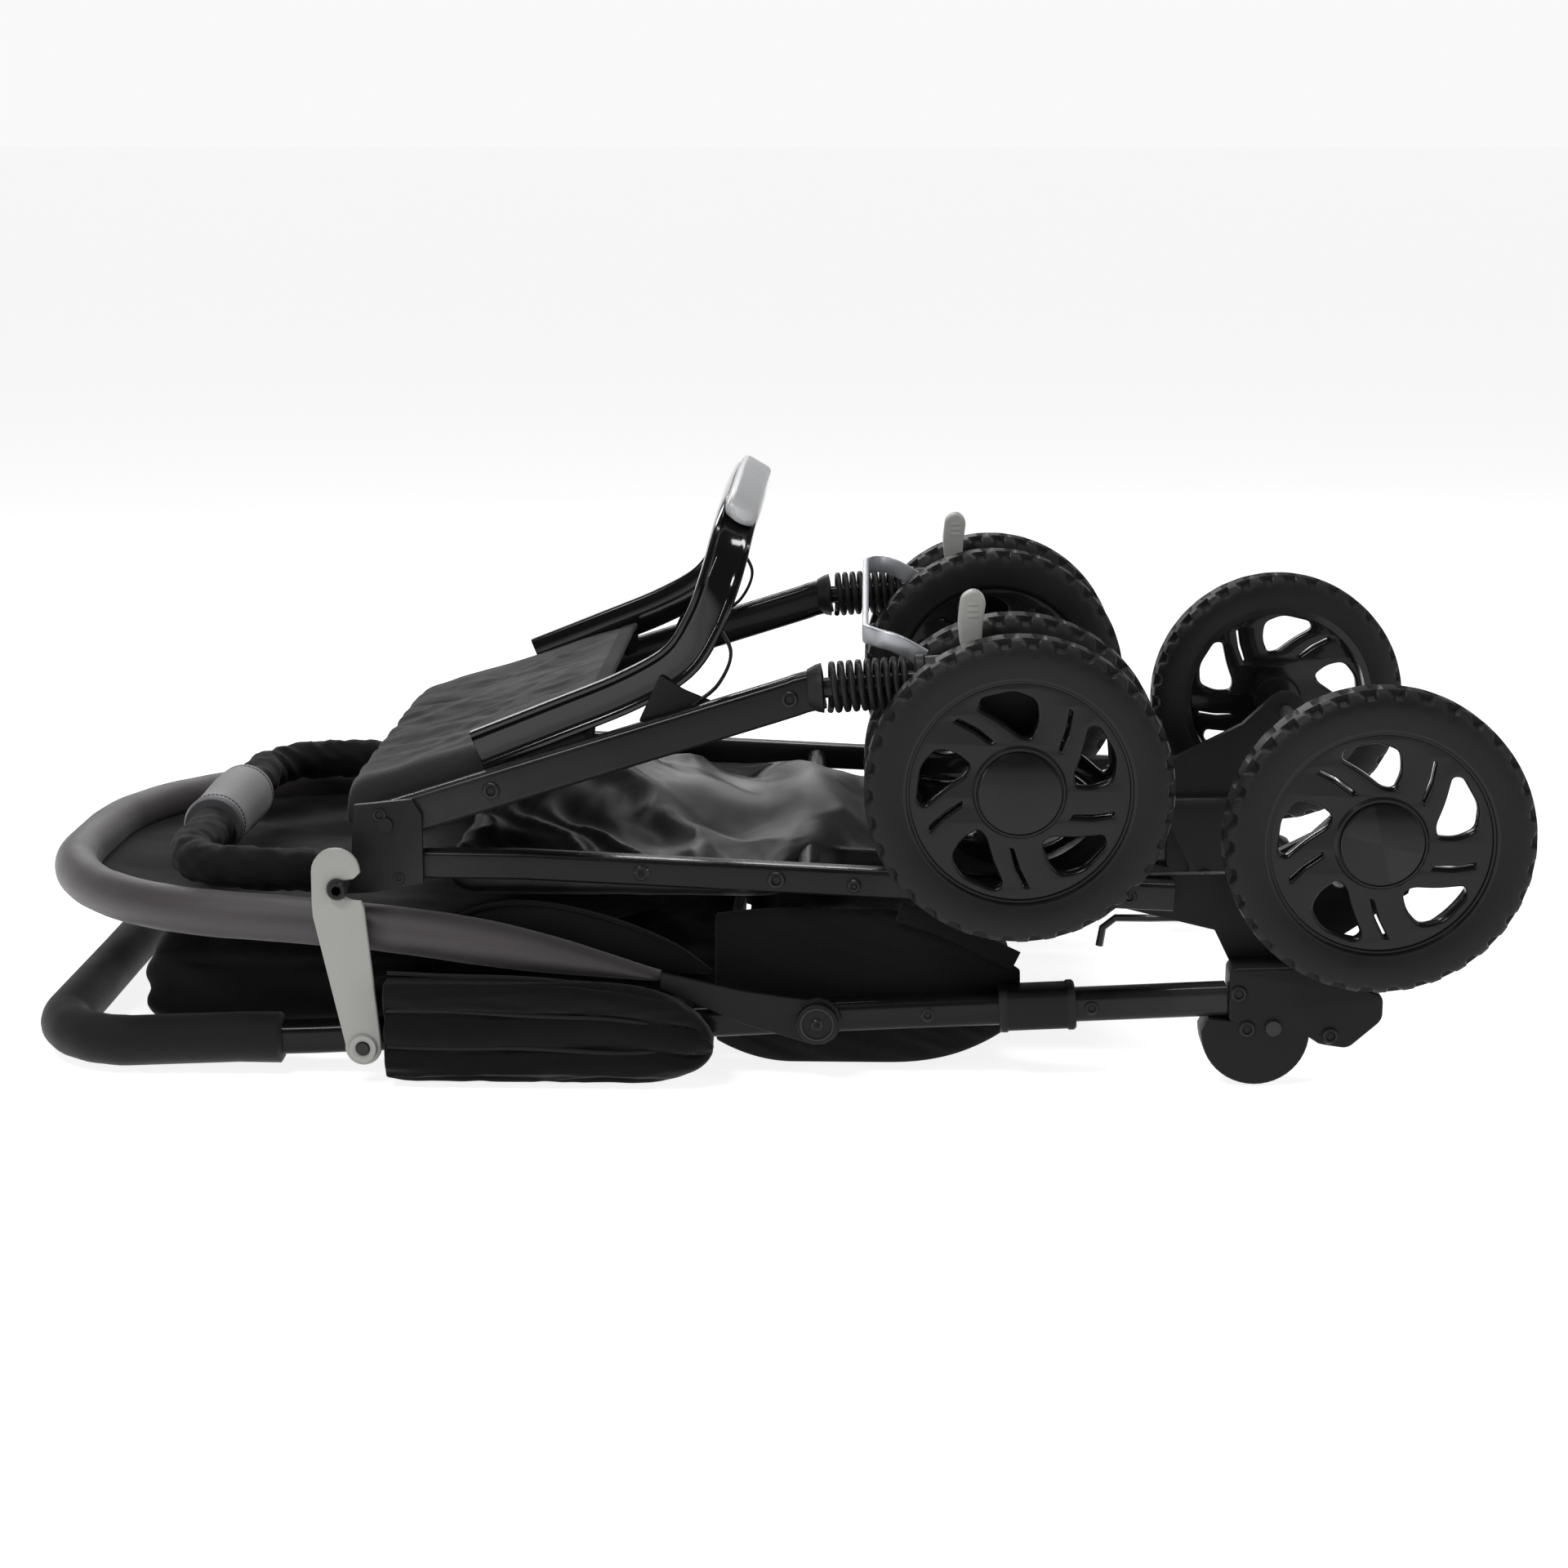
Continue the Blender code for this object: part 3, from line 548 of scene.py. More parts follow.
def rim_shapes(mid, side):
    """The outward face of a rim: five swept openings and five slots, a plain hub cap and a stepped barrel."""
    face = 0.0065 * side
    lean = -side

    def swept(points, base):
        """(radius, degrees) points turned with the radius, so that the spokes sweep back."""
        return [polar(mid.x, mid.z, r, base + lean * (d + 480 * (r - 0.033))) for r, d in points]

    openings = []
    for k in range(5):
        base = 90 + 72 * k
        big = [(0.0325, -14), (0.0460, -23), (0.0600, -24), (0.0652, -12), (0.0655, 8), (0.0590, 17), (0.0440, 12),
               (0.0325, 2)]
        openings.append(rounded(swept(big, base), 0.0060, 4))
        slot = [(0.0340, 22.5), (0.0480, 24.2), (0.0615, 25.0), (0.0615, 31.0), (0.0480, 32.0), (0.0340, 32.5)]
        openings.append(rounded(swept(slot, base), 0.0024, 4))
    web = slab(ring_points(mid.x, mid.z, 0.0672, 80), openings, mid.y + face - 0.0050, mid.y + face + 0.0050, 0.0022)
    barrel = [(0.0655, 0.004), (0.0662, 0.0100), (0.0674, 0.0104), (0.0680, 0.0128), (0.0692, 0.0130),
              (0.0698, 0.0146), (0.0712, 0.0152), (0.0738, 0.0152), (0.0738, -0.0152), (0.0665, -0.0152),
              (0.0655, -0.006)]
    outer = lathe([(r, d * side) for r, d in barrel], mid, Y, 96, hollow=True)
    hub = [(0.0300, 0.0060), (0.0292, 0.0118), (0.0276, 0.0134), (0.0268, 0.0134), (0.0263, 0.0122), (0.0258, 0.0122),
           (0.0253, 0.0146), (0.0236, 0.0156), (0.0, 0.0158)]
    cap = lathe([(r, d * side) for r, d in hub], mid, Y, 64)
    back = lathe([(r, d * side) for r, d in ((0.0, -0.0135), (0.0165, -0.0135), (0.0180, -0.0120), (0.0185, 0.006))],
                 mid, Y, 40)
    return [web, outer, cap, back]


def wheels():
    for name, side in SIDES:
        for place in ("rear", "front_outer", "front_inner"):
            key = f"{place}_{name}"
            mid = centre(f"tyre_{key}")
            size = high(f"tyre_{key}") - low(f"tyre_{key}")
            facing = -side if place == "front_inner" else side
            piece(f"{key}_tyre_detail", [tyre_shape(mid, size.z / 2, size.y / 2)], TYRE, f"wheel_{key}",
                  [f"tyre_{key}"], angle=28)
            piece(f"{key}_rim_detail", rim_shapes(mid, facing), RIM, f"wheel_{key}", [f"rim_{key}"],
                  angle=32)



# ---- Frame tubes ------------------------------------------------------------------------------------------
def mirrored(points):
    """The points, then their mirror images in reverse, for a U across the stroller."""
    pts = [Vector(p) for p in points]
    return pts + [Vector((p.x, -p.y, p.z)) for p in reversed(pts) if abs(p.y) > 1e-6]


def handle_height(x):
    """Centre height of the handle tube: level at the push bar, rising to the hinge."""
    grip = high("foam_grip").z / 2
    return max(grip, CANOPY.z + 0.052 * (x - CANOPY.x))


def handle_frame():
    bar_x, tube_y = centre("foam_grip").x, 0.200
    push_x = low("foam_grip").x + 0.0163
    cut_x = high("foam_grip").x
    corner = 0.055
    bend = []
    for i in range(17):
        angle = math.radians(90 + 90 * i / 16)
        x = push_x + corner + corner * math.cos(angle)
        bend.append((x, tube_y - corner + corner * math.sin(angle), handle_height(x)))
    legs = [(high("handle_tube").x - 0.290 * t, tube_y, 0) for t in (0, 0.33, 0.66, 1.0, 1.5, cut_x and 2.0)]
    legs = [(x, y, handle_height(x)) for x, y, _ in legs if x > push_x + corner + 0.01]
    path = mirrored(legs + bend)
    piece("handle_tube_detail", [bar(path, soft_box(0.020, 0.020, 0.0055), Z)], PAINT, "handle_frame",
          ["handle_tube"])
    grip = mirrored([(cut_x - 0.001, tube_y, handle_height(cut_x)), (cut_x - 0.03, tube_y, handle_height(cut_x)),
                     *bend, (push_x, 0.05, handle_height(push_x)), (push_x, 0.0, handle_height(push_x))])
    fat = 0.0163

    def foam(i, share):
        end = min(share, 1 - share) * (len(grip) - 1)
        r = fat * (0.80 if end < 0.01 else 1.0) + 0.00015 * math.sin(i * 1.7)
        return oval(r, r, 32)

    grip.insert(1, grip[0] + Vector((-0.002, 0, 0)))
    grip.insert(-1, grip[-1] + Vector((-0.002, 0, 0)))
    foam_piece = piece("foam_grip_detail", [bar(grip, foam, Z)], FOAM, "handle_frame", ["foam_grip"])
    for name, side in SIDES:
        housing = f"hinge_housing_{name}"
        a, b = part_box(housing)
        face = max(abs(a.y), abs(b.y))
        foot = ring_points(a.x + 0.0325, 0.0342, 0.0325, 24, 0, -180)
        plate = rounded([(a.x + 0.017, 0.0420), (a.x + 0.017, 0.0745), (a.x + 0.065, 0.0760), (b.x, 0.0580),
                         (b.x, 0.0440), (b.x - 0.020, 0.0260), (b.x - 0.034, 0.0280)], 0.0035)
        body = slab(plate + foot + [(a.x + 0.004, 0.0415)], [], side * 0.187, side * face, 0.0016)
        piece(f"{housing}_detail", [body], PLASTIC, "handle_frame", [housing], angle=32)
        heads = [rivet(a.x + dx, dz, side, face) for dx, dz in ((0.021, 0.0600), (0.027, 0.0370), (0.0795, 0.0330))]
        heads.append(rivet(0.1136, handle_height(0.1136), side, 0.210, 0.0045, 0.0015))
        heads.append(rivet(0.2172, handle_height(0.2172), side, 0.210, 0.0045, 0.0015))
        piece(f"handle_rivets_{name}", heads, PAINT, "handle_frame")
        sleeve = f"tube_sleeve_{name}"
        sa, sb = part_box(sleeve)
        mid_z = (sa.z + sb.z) / 2
        run = [(sa.x + (sb.x - sa.x) * t, side * tube_y, mid_z + 0.052 * (t - 0.5) * (sb.x - sa.x))
               for t in (0, 0.03, 0.10, 0.12, 0.88, 0.90, 0.97, 1.0)]
        sizes = (0.92, 1.0, 1.0, 0.95, 0.95, 1.0, 1.0, 0.92)

        def box_ring(i, share, sizes=sizes):
            return soft_box(0.028 * sizes[i], 0.027 * sizes[i], 0.005)

        piece(f"tube_sleeve_{name}_detail", [bar(run, box_ring, Z)], PLASTIC, "handle_frame",
              [sleeve], angle=30)


def latch():
    bolt_at = centre("latch_bolt")
    px, pz = LATCH.x, LATCH.z
    bx, bz = bolt_at.x, bolt_at.z
    outline = ring_points(px, pz, 0.0104, 14, -190, 195)
    outline += [(px + 0.0098, pz + 0.010), (px + 0.0020, pz + 0.0905), (px + 0.0005, pz + 0.0945),
                (px - 0.0050, pz + 0.0950)]
    outline += [(bx + 0.0076 * math.cos(math.radians(d)), bz + 0.0076 * math.sin(math.radians(d)))
                for d in range(-60, -301, -20)]
    outline += [(bx + 0.0095, bz + 0.0075)]
    top_x, top_z = bx - 0.0012, bz + 0.0108
    outline += [(top_x + 0.0142 * math.cos(math.radians(d)), top_z + 0.0142 * math.sin(math.radians(d)))
                for d in range(0, 181, 15)]
    outline += [(top_x - 0.0144, bz - 0.010), (top_x - 0.0140, bz - 0.018)]
    y_in, y_out = high("latch_hook").y, low("latch_hook").y
    hook = slab(outline, [ring_points(px, pz, 0.0044, 24)], y_in, y_out, 0.0011)
    boss = lathe([(0.0046, 0.0), (0.0046, 0.0016), (0.0060, 0.0022), (0.0082, 0.0022), (0.0092, 0.0010), (0.0094, 0)],
                 (px, y_out, pz), -Y, 40)
    piece("latch_hook_detail", [hook, boss], GREY, "latch", ["latch_hook"], angle=32)
    piece("latch_stud_head", bolt(px, pz, -1, abs(y_out) + 0.0005, 0.0042, 0.0020), PAINT, "handle_frame")
    piece("latch_bolt_head", bolt(bx, bz, -1, abs(low("latch_bolt").y) - 0.0030, 0.0064, 0.0045), PAINT, "chassis")


def rail_point(x):
    """Centre height of the side rails, from the points that they bend at."""
    line = [(-0.2384, 0.1365), (-0.1434, 0.1355), (0.0666, 0.1260), (0.2686, 0.1180)]
    for (x0, z0), (x1, z1) in zip(line, line[1:]):
        if x <= x1:
            return z0 + (z1 - z0) * (x - x0) / (x1 - x0)
    return line[-1][1]


def chassis():
    for name, side in SIDES:
        xs = (-0.2384, -0.160, -0.1434, -0.120, 0.0466, 0.0666, 0.0866, 0.2686)
        path = [(x, side * 0.190, rail_point(x)) for x in xs]
        piece(f"side_rail_{name}_detail", [bar(path, soft_box(0.016, 0.018, 0.0030), Y)], PAINT, "chassis",
              [f"side_rail_{name}"])
        heads = [*bolt(-0.0683, rail_point(-0.0683), side, 0.198, 0.0052, 0.0022),
                 rivet(0.0172, rail_point(0.0172), side, 0.198, 0.0058, 0.0030),
                 *bolt(0.0664, rail_point(0.0664) - 0.001, side, 0.198, 0.0046, 0.0034),
                 rivet(0.2400, rail_point(0.2400), side, 0.198, 0.0050, 0.0024)]
        piece(f"rail_bolts_{name}", heads, STEEL if side > 0 else PAINT, "chassis")
        refined(f"elbow_bracket_{name}", PLASTIC, "chassis", 0.0008)
        face = 0.2030
        marks = [rivet(-0.2330, 0.1700, side, face, 0.0046, 0.0016), rivet(-0.2215, 0.1290, side, face, 0.0036, 0.0014)]
        piece(f"elbow_rivets_{name}", marks, PAINT, "chassis")
        refined(f"rear_knuckle_{name}", PLASTIC, "chassis", 0.0010)
        nut = bolt(0.3740, 0.1280, side, 0.1815, 0.0062, 0.0050)
        nut += bolt(0.2420, 0.1180, side, 0.1815, 0.0046, 0.0030)
        piece(f"knuckle_bolts_{name}", nut, STEEL, "chassis")
    axle = centre("rear_axle")
    ends = [(0.0035, -0.2440), (0.0050, -0.2425), (0.0050, 0.2425), (0.0035, 0.2440)]
    piece("rear_axle_detail", [lathe(ends, (axle.x, 0, axle.z), Y, 32)], STEEL, "chassis", ["rear_axle"])
    bar_mid = centre("rail_crossbar")
    half = high("rail_crossbar").y
    profile = [(0.0050, -half), (0.0070, -half + 0.001), (0.0070, half - 0.001), (0.0050, half)]
    piece("rail_crossbar_detail", [lathe(profile, (bar_mid.x, 0, bar_mid.z), Y, 32)], PAINT, "chassis",
          ["rail_crossbar"])
    refined("brake_bar", PLASTIC, "brake", 0.0014)
    pivot = Vector(JOINT["brake_press"]["pos_m"])
    ridges = []
    for k in range(6):
        spot = pivot + Vector((0.0102, 0, -0.0120 - 0.0085 * k))
        half = 0.0370 - 0.0040 * abs(k - 2.5) / 2.5
        ends = [spot + y * Y for y in (-half, -half + 0.002, half - 0.002, half)]
        ridges.append(bar(ends, lambda i, share: oval(*((0.0006, 0.0008), (0.0012, 0.0018))[0 < i < 3], 12), Z))
    piece("brake_pedal_ridges", ridges, PLASTIC, "brake")


def stem_point(distance, side):
    start = Vector((0.0466, side * 0.190, 0.2505))
    return start + distance * STEM


def front_legs():
    legs = [(-0.2414, 0.1597), (-0.0934, 0.2067), (0.0166, 0.2415), (0.0326, 0.2470), (0.0461, 0.2503)]
    for name, side in SIDES:
        line = smooth_line([(x, side * 0.190, z) for x, z in legs[1:]], 4)
        line = [Vector((legs[0][0], side * 0.190, legs[0][1]))] + line
        tube = bar(line, soft_box(0.016, 0.025, 0.0045), Y)
        stem = lathe([(0.0065, -0.006), (0.0065, 0.0740), (0.0050, 0.0745)], stem_point(0.0, side), STEM, 24)
        collar = lathe([(0.0090, -0.0100), (0.0125, -0.0095), (0.0150, -0.0040), (0.0158, -0.0005), (0.0100, 0.0004)],
                       stem_point(0.0, side), STEM, 40)
        piece(f"front_leg_{name}_detail", [tube, stem], PAINT, "front_legs", [f"front_leg_{name}"])
        piece(f"leg_collar_{name}", [collar], PLASTIC, "front_legs")
        heads = [rivet(x, z, side, 0.198, 0.0056, 0.0026)
                 for x, z in ((0.0255, 0.2445), (-0.1626, 0.1850))]
        piece(f"leg_bolts_{name}", heads, PAINT, "front_legs")
        turns, per_turn = 9, 20
        up = Y.cross(STEM)
        coil = []
        for i in range(turns * per_turn + 1):
            angle = 2 * math.pi * i / per_turn
            spot = stem_point(0.0034 + 0.0500 * i / (turns * per_turn), side)
            coil.append(spot + 0.0146 * (math.cos(angle) * up + math.sin(angle) * Y))
        spring = piece(f"spring_{name}_detail", [bar(coil, oval(0.0021, 0.0021, 8), STEM)], PLASTIC, "front_legs",
                       [f"suspension_spring_{name}"], angle=60)
        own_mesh(spring)
    arch()


def arch():
    half = [(-0.1734, 0.1750, 0.2060), (-0.1234, 0.1750, 0.2260), (-0.0774, 0.1750, 0.2450),
            (-0.0454, 0.1750, 0.2640), (-0.0294, 0.1740, 0.2880), (-0.0194, 0.1690, 0.3140),
            (-0.0134, 0.1520, 0.3360), (-0.0104, 0.1200, 0.3480), (-0.0094, 0.0600, 0.3520), (-0.0094, 0.0, 0.3530)]
    path = smooth_line(mirrored(half), 6)
    tilt = Vector((0.85, 0, -0.5))
    lip, web = 0.0050, 0.0022
    channel = [(0.0130, -0.0035), (0.0130, 0.0030), (0.0118, lip), (0.0100, lip), (0.0088, 0.0030), (0.0060, web),
               (-0.0060, web), (-0.0088, 0.0030), (-0.0100, lip), (-0.0118, lip), (-0.0130, 0.0030),
               (-0.0130, -0.0035), (-0.0115, -0.0050), (0.0115, -0.0050)]
    piece("front_arch_detail", [bar(path, channel, tilt)], GLOSS, "front_legs", ["front_arch"],
          angle=50)
    steps = frames(path, tilt)
    a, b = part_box("arch_pad")
    top = [p + 0.0075 * v for p, _, _, v in steps if abs(p.y) < b.y - 0.004 and p.z > a.z + 0.008]

    def pad(i, share):
        end = min(share, 1 - share)
        grow = min(1.0, (end * 9) ** 0.5 + 0.35)
        return [(u * grow, v * grow) for u, v in soft_box(0.0225, 0.0085, 0.0040)]

    piece("arch_pad_detail", [bar(top, pad, tilt)], PAD_GREY, "front_legs", ["arch_pad"], angle=60)
    for name, side in SIDES:
        strut = smooth_line([(-0.0215, side * 0.1740, 0.2890), (-0.0120, side * 0.1750, 0.2700),
                             (-0.0200, side * 0.1770, 0.2500), (-0.0360, side * 0.1810, 0.2370)], 8)
        loop = bar(strut, soft_box(0.0060, 0.0022, 0.0009, 3), Y)
        gusset = slab(rounded([(-0.0700, 0.2260), (-0.0230, 0.2390), (-0.0420, 0.2470), (-0.0560, 0.2560)], 0.003),
                      [], side * 0.1790, side * 0.1815, 0.0006)
        piece(f"arch_brace_{name}", [loop, gusset], PLASTIC, "front_legs")


def front_carriage():
    line = smooth_line([(0.1096, 0.1705, 0.2660), (0.0926, 0.1690, 0.2750), (0.0800, 0.1630, 0.2778),
                        (0.0735, 0.1500, 0.2780), (0.0726, 0.1400, 0.2780)], 4)
    path = mirrored(line)
    piece("front_crossbar_detail", [bar(path, soft_box(0.0120, 0.0042, 0.0012, 3), Z)], ALLOY, "front_carriage",
          ["front_crossbar"])
    for name, side in SIDES:
        body = f"caster_{name}"
        spot = stem_point(0.0575, side)
        profile = [(0.0074, 0.0000), (0.0150, 0.0000), (0.0165, 0.0015), (0.0165, 0.0060), (0.0152, 0.0072),
                   (0.0152, 0.0230), (0.0165, 0.0242), (0.0165, 0.0300), (0.0130, 0.0365)]
        node = f"caster_housing_{name}"
        piece(f"{node}_detail", [lathe(profile, spot, STEM, 48)], PLASTIC, "front_carriage",
              [node], angle=30)
        refined(f"caster_fork_{name}", PLASTIC, body, 0.0020)
        lever = f"lock_lever_{name}"
        a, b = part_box(lever)
        w, h = b.x - a.x, b.z - a.z
        outline = [(0.12, 0), (0.82, 0), (0.86, 0.45), (1.0, 0.86), (0.62, 1.0), (0.14, 0.90), (0.02, 0.45)]
        grip = slab(rounded([(a.x + u * w, a.z + v * h) for u, v in outline], 0.0035),
                    [], a.y, b.y, 0.0018)
        ridges = [slab(rounded([(a.x + 0.30 * w, a.z + v * h), (a.x + 0.78 * w, a.z + v * h),
                                (a.x + 0.78 * w, a.z + (v + 0.05) * h), (a.x + 0.30 * w, a.z + (v + 0.05) * h)],
                               0.0008), [], a.y - 0.0004, b.y + 0.0004, 0.0004) for v in (0.55, 0.66, 0.77)]
        piece(f"{lever}_detail", [grip, *ridges], GREY, f"lock_{name}", [lever], angle=35)
        axle = centre(f"front_axle_{name}")
        near, far = 0.1370, 0.2415
        rod = lathe([(0.0028, side * near), (0.0040, side * (near + 0.001)), (0.0040, side * (far - 0.001)),
                     (0.0028, side * far)], (axle.x, 0, axle.z), Y, 28)
        piece(f"front_axle_{name}_detail", [rod], STEEL, body, [f"front_axle_{name}"])


# ---- Soft pieces --------------------------------------------------------------------------------------------
def wrinkle(p, size, stretch, seed, sharp=1.0):
    """Ridged noise in -1 to 1. stretch makes long folds along an axis."""
    q = Vector((p.x / stretch[0], p.y / stretch[1], p.z / stretch[2])) / size + Vector((seed * 7.3, seed * 3.1, seed))
    value = noise.noise(q) + 0.45 * noise.noise(q * 2.1 + Vector((5.2, 1.3, 8.1)))
    return 1 - 2 * abs(value) ** sharp


def bulk(name, stations, ring, relief, mat, body, replaces, keep, count=112):
    """A closed soft form: superellipse rings along X, then moved along their normals by relief(p, n).

    ring(x) gives centre y, centre z, half width, half height and the power of the corners."""
    rings = []
    for x in stations:
        cy, cz, a, b, power = ring(x)
        points = []
        for i in range(count):
            t = 2 * math.pi * i / count
            c, s = math.cos(t), math.sin(t)
            points.append(Vector((x, cy + math.copysign(abs(c) ** (2 / power), c) * a,
                                  cz + math.copysign(abs(s) ** (2 / power), s) * b)))
        rings.append(points)
    obj = piece(name, [loft(rings)], mat, body, replaces, angle=180)
    mesh = obj.data
    mesh.update()
    moved = []
    for co, normal in [(v.co.copy(), v.normal.copy()) for v in mesh.vertices]:
        moved.extend(keep(co + relief(co, normal) * normal))
    mesh.vertices.foreach_set("co", moved)
    mesh.update()
    mod = obj.modifiers.new("subdivide", "SUBSURF")
    mod.levels = mod.render_levels = 1
    return obj


def spread(start, end, count, ease=0.35):
    """Stations along X, closer together near both ends."""
    out = []
    for i in range(count + 1):
        t = i / count
        t = t - ease * math.sin(2 * math.pi * t) / (2 * math.pi)
        out.append(start + (end - start) * t)
    return out


def dome(x, start, end, reach, power=2.4):
    """0 at both ends, 1 further in than reach."""
    d = min(x - start, end - x) / reach
    d = min(max(d, 0.0), 1.0)
    return (1 - (1 - d) ** power) ** (1 / power)


def clamp_to(a, b, inset=0.0):
    def keep(co):
        return Vector([min(max(co[i], a[i] + inset), b[i] - inset) for i in range(3)])
    return keep


def canopy_bundle():
    a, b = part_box("canopy_fabric")
    mid_z, half_z, half_y = (a.z + b.z) / 2, (b.z - a.z) / 2 - 0.003, b.y - 0.004

    def ring(x):
        end = dome(x, a.x, b.x + 0.012, 0.030)
        sag = 0.004 * math.sin((x - a.x) * 24)
        return 0.0, mid_z + 0.3 * sag, half_y * (0.90 + 0.10 * end), half_z * max(end, 0.04) + 0.001, 5.0

    def relief(p, n):
        side = 1 - abs(n.z)
        level = (p.z - a.z) / (b.z - a.z) + 0.05 * noise.noise(Vector((p.x * 9, p.y * 9, 1.0)))
        lobes = abs(math.sin(math.pi * level * 4)) ** 0.55
        fold = 0.0065 * (lobes - 1) * side
        top = 0.0022 * wrinkle(p, 0.06, (1.2, 2.6, 1), 1, 0.8) + 0.0012 * wrinkle(p, 0.025, (1, 1.8, 1), 2)
        return fold + top * (1 - 0.4 * side) - 0.0015

    bulk("canopy_bundle", spread(a.x + 0.001, b.x - 0.001, 110), ring, relief, CLOTH, "canopy",
         ["canopy_fabric"], clamp_to(a, b))


def bow_height(x):
    """Centre height of the canopy bow: it climbs from the hubs, then runs level."""
    rise = (high("canopy_bow").x - 0.0020 - x) / 0.29
    return 0.066 + 0.037 * math.sin(min(max(rise, 0.0), 1.0) * math.pi / 2)


def canopy_sides():
    for name, side in SIDES:
        node = f"canopy_side_{name}"
        a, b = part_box(node)
        inner, outer = sorted((abs(a.y), abs(b.y)))

        def top(x):
            share = max((x - a.x) / (b.x - a.x), 0.0)
            return 0.0745 - 0.0160 * share ** 2.0

        def ring(x):
            end = dome(x, a.x - 0.030, b.x, 0.052, 2.0)
            z0, z1 = a.z + 0.0005, top(x)
            return (side * (inner + (outer - inner) * 0.50), (z0 + z1) / 2 - 0.003 * (1 - end),
                    (outer - inner) * 0.47, (z1 - z0) / 2 * max(end, 0.05), 3.2)

        def relief(p, n, side=side, inner=inner):
            out = max(0.0, n.y * side)
            z1 = top(p.x)
            level = (p.z - a.z) / (z1 - a.z)
            drift = 0.05 * math.sin(p.x * 31 + 1) + 0.03 * noise.noise(p * 30)
            lobes = abs(math.sin(math.pi * (level + drift * (1 - abs(2 * level - 1))) * 3.0)) ** 0.5
            long = wrinkle(p, 0.012, (7, 1, 1), 4 + side, 0.7)
            return out * (0.0095 * (lobes - 1) + 0.0026 * long) + 0.0006 * wrinkle(p, 0.010, (2, 1, 1), 6)

        grid = []
        for c in range(61):
            x = a.x - 0.010 + (b.x - 0.004 - a.x) * c / 60
            crest = (handle_height(x) + 0.010 + bow_height(x) - 0.0155) / 2
            column = []
            for k in range(17):
                t = k / 16
                y = 0.1770 + (inner + 0.006 - 0.1770) * t
                z = crest - 0.012 * (2 * t - 1) ** 4 * (1.0 if t > 0.5 else 0.4)
                ripple = 0.0012 * wrinkle(Vector((x, y, 0)), 0.018, (1, 3, 1), 45, 0.8)
                column.append(Vector((x, side * y, z + ripple)))
            grid.append(column)
        sheet_piece(f"canopy_wrap_{name}", grid, 0.0012, CLOTH, "canopy", (),
                    width=0.205)
        bulk(f"{node}_folds", spread(a.x, b.x - 0.0005, 90), ring, relief, CLOTH, "canopy", [node],
             clamp_to(a, b), count=96)


def pleat_highlight_cords():
    """Bound edges that follow the pleats of the folded canopy sides; their charcoal cloth, lighter than the black
    canopy, is a painted highlight along the creases.
    """
    for name, side in SIDES:
        a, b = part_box(f"canopy_side_{name}")
        face = max(abs(a.y), abs(b.y)) - 0.0022
        cords = []
        for level, rise in ((0.345, 0.0), (0.67, 0.0), (0.985, -0.001)):
            line = []
            for i in range(41):
                t = i / 40
                x = a.x + 0.002 + (b.x - 0.006 - a.x) * t
                top = 0.0745 - 0.0160 * t ** 2.0
                close = max(0.0, (t - 0.72) / 0.28) ** 2
                z = a.z + (top - a.z) * (level + (0.5 - level) * close) + rise
                tuck = 0.0018 + 0.0100 * close + (0.0085 if level > 0.9 else 0.0)
                line.append((x, side * (face - tuck), z + 0.0006 * math.sin(x * 55 + level * 9)))
            cords.append(bar(line, oval(0.0013, 0.0013, 8), Y))
        # charcoal, lighter than the black canopy: painted highlight lines along the creases
        piece(f"pleat_highlight_cords_{name}", cords, CHARCOAL, "canopy")


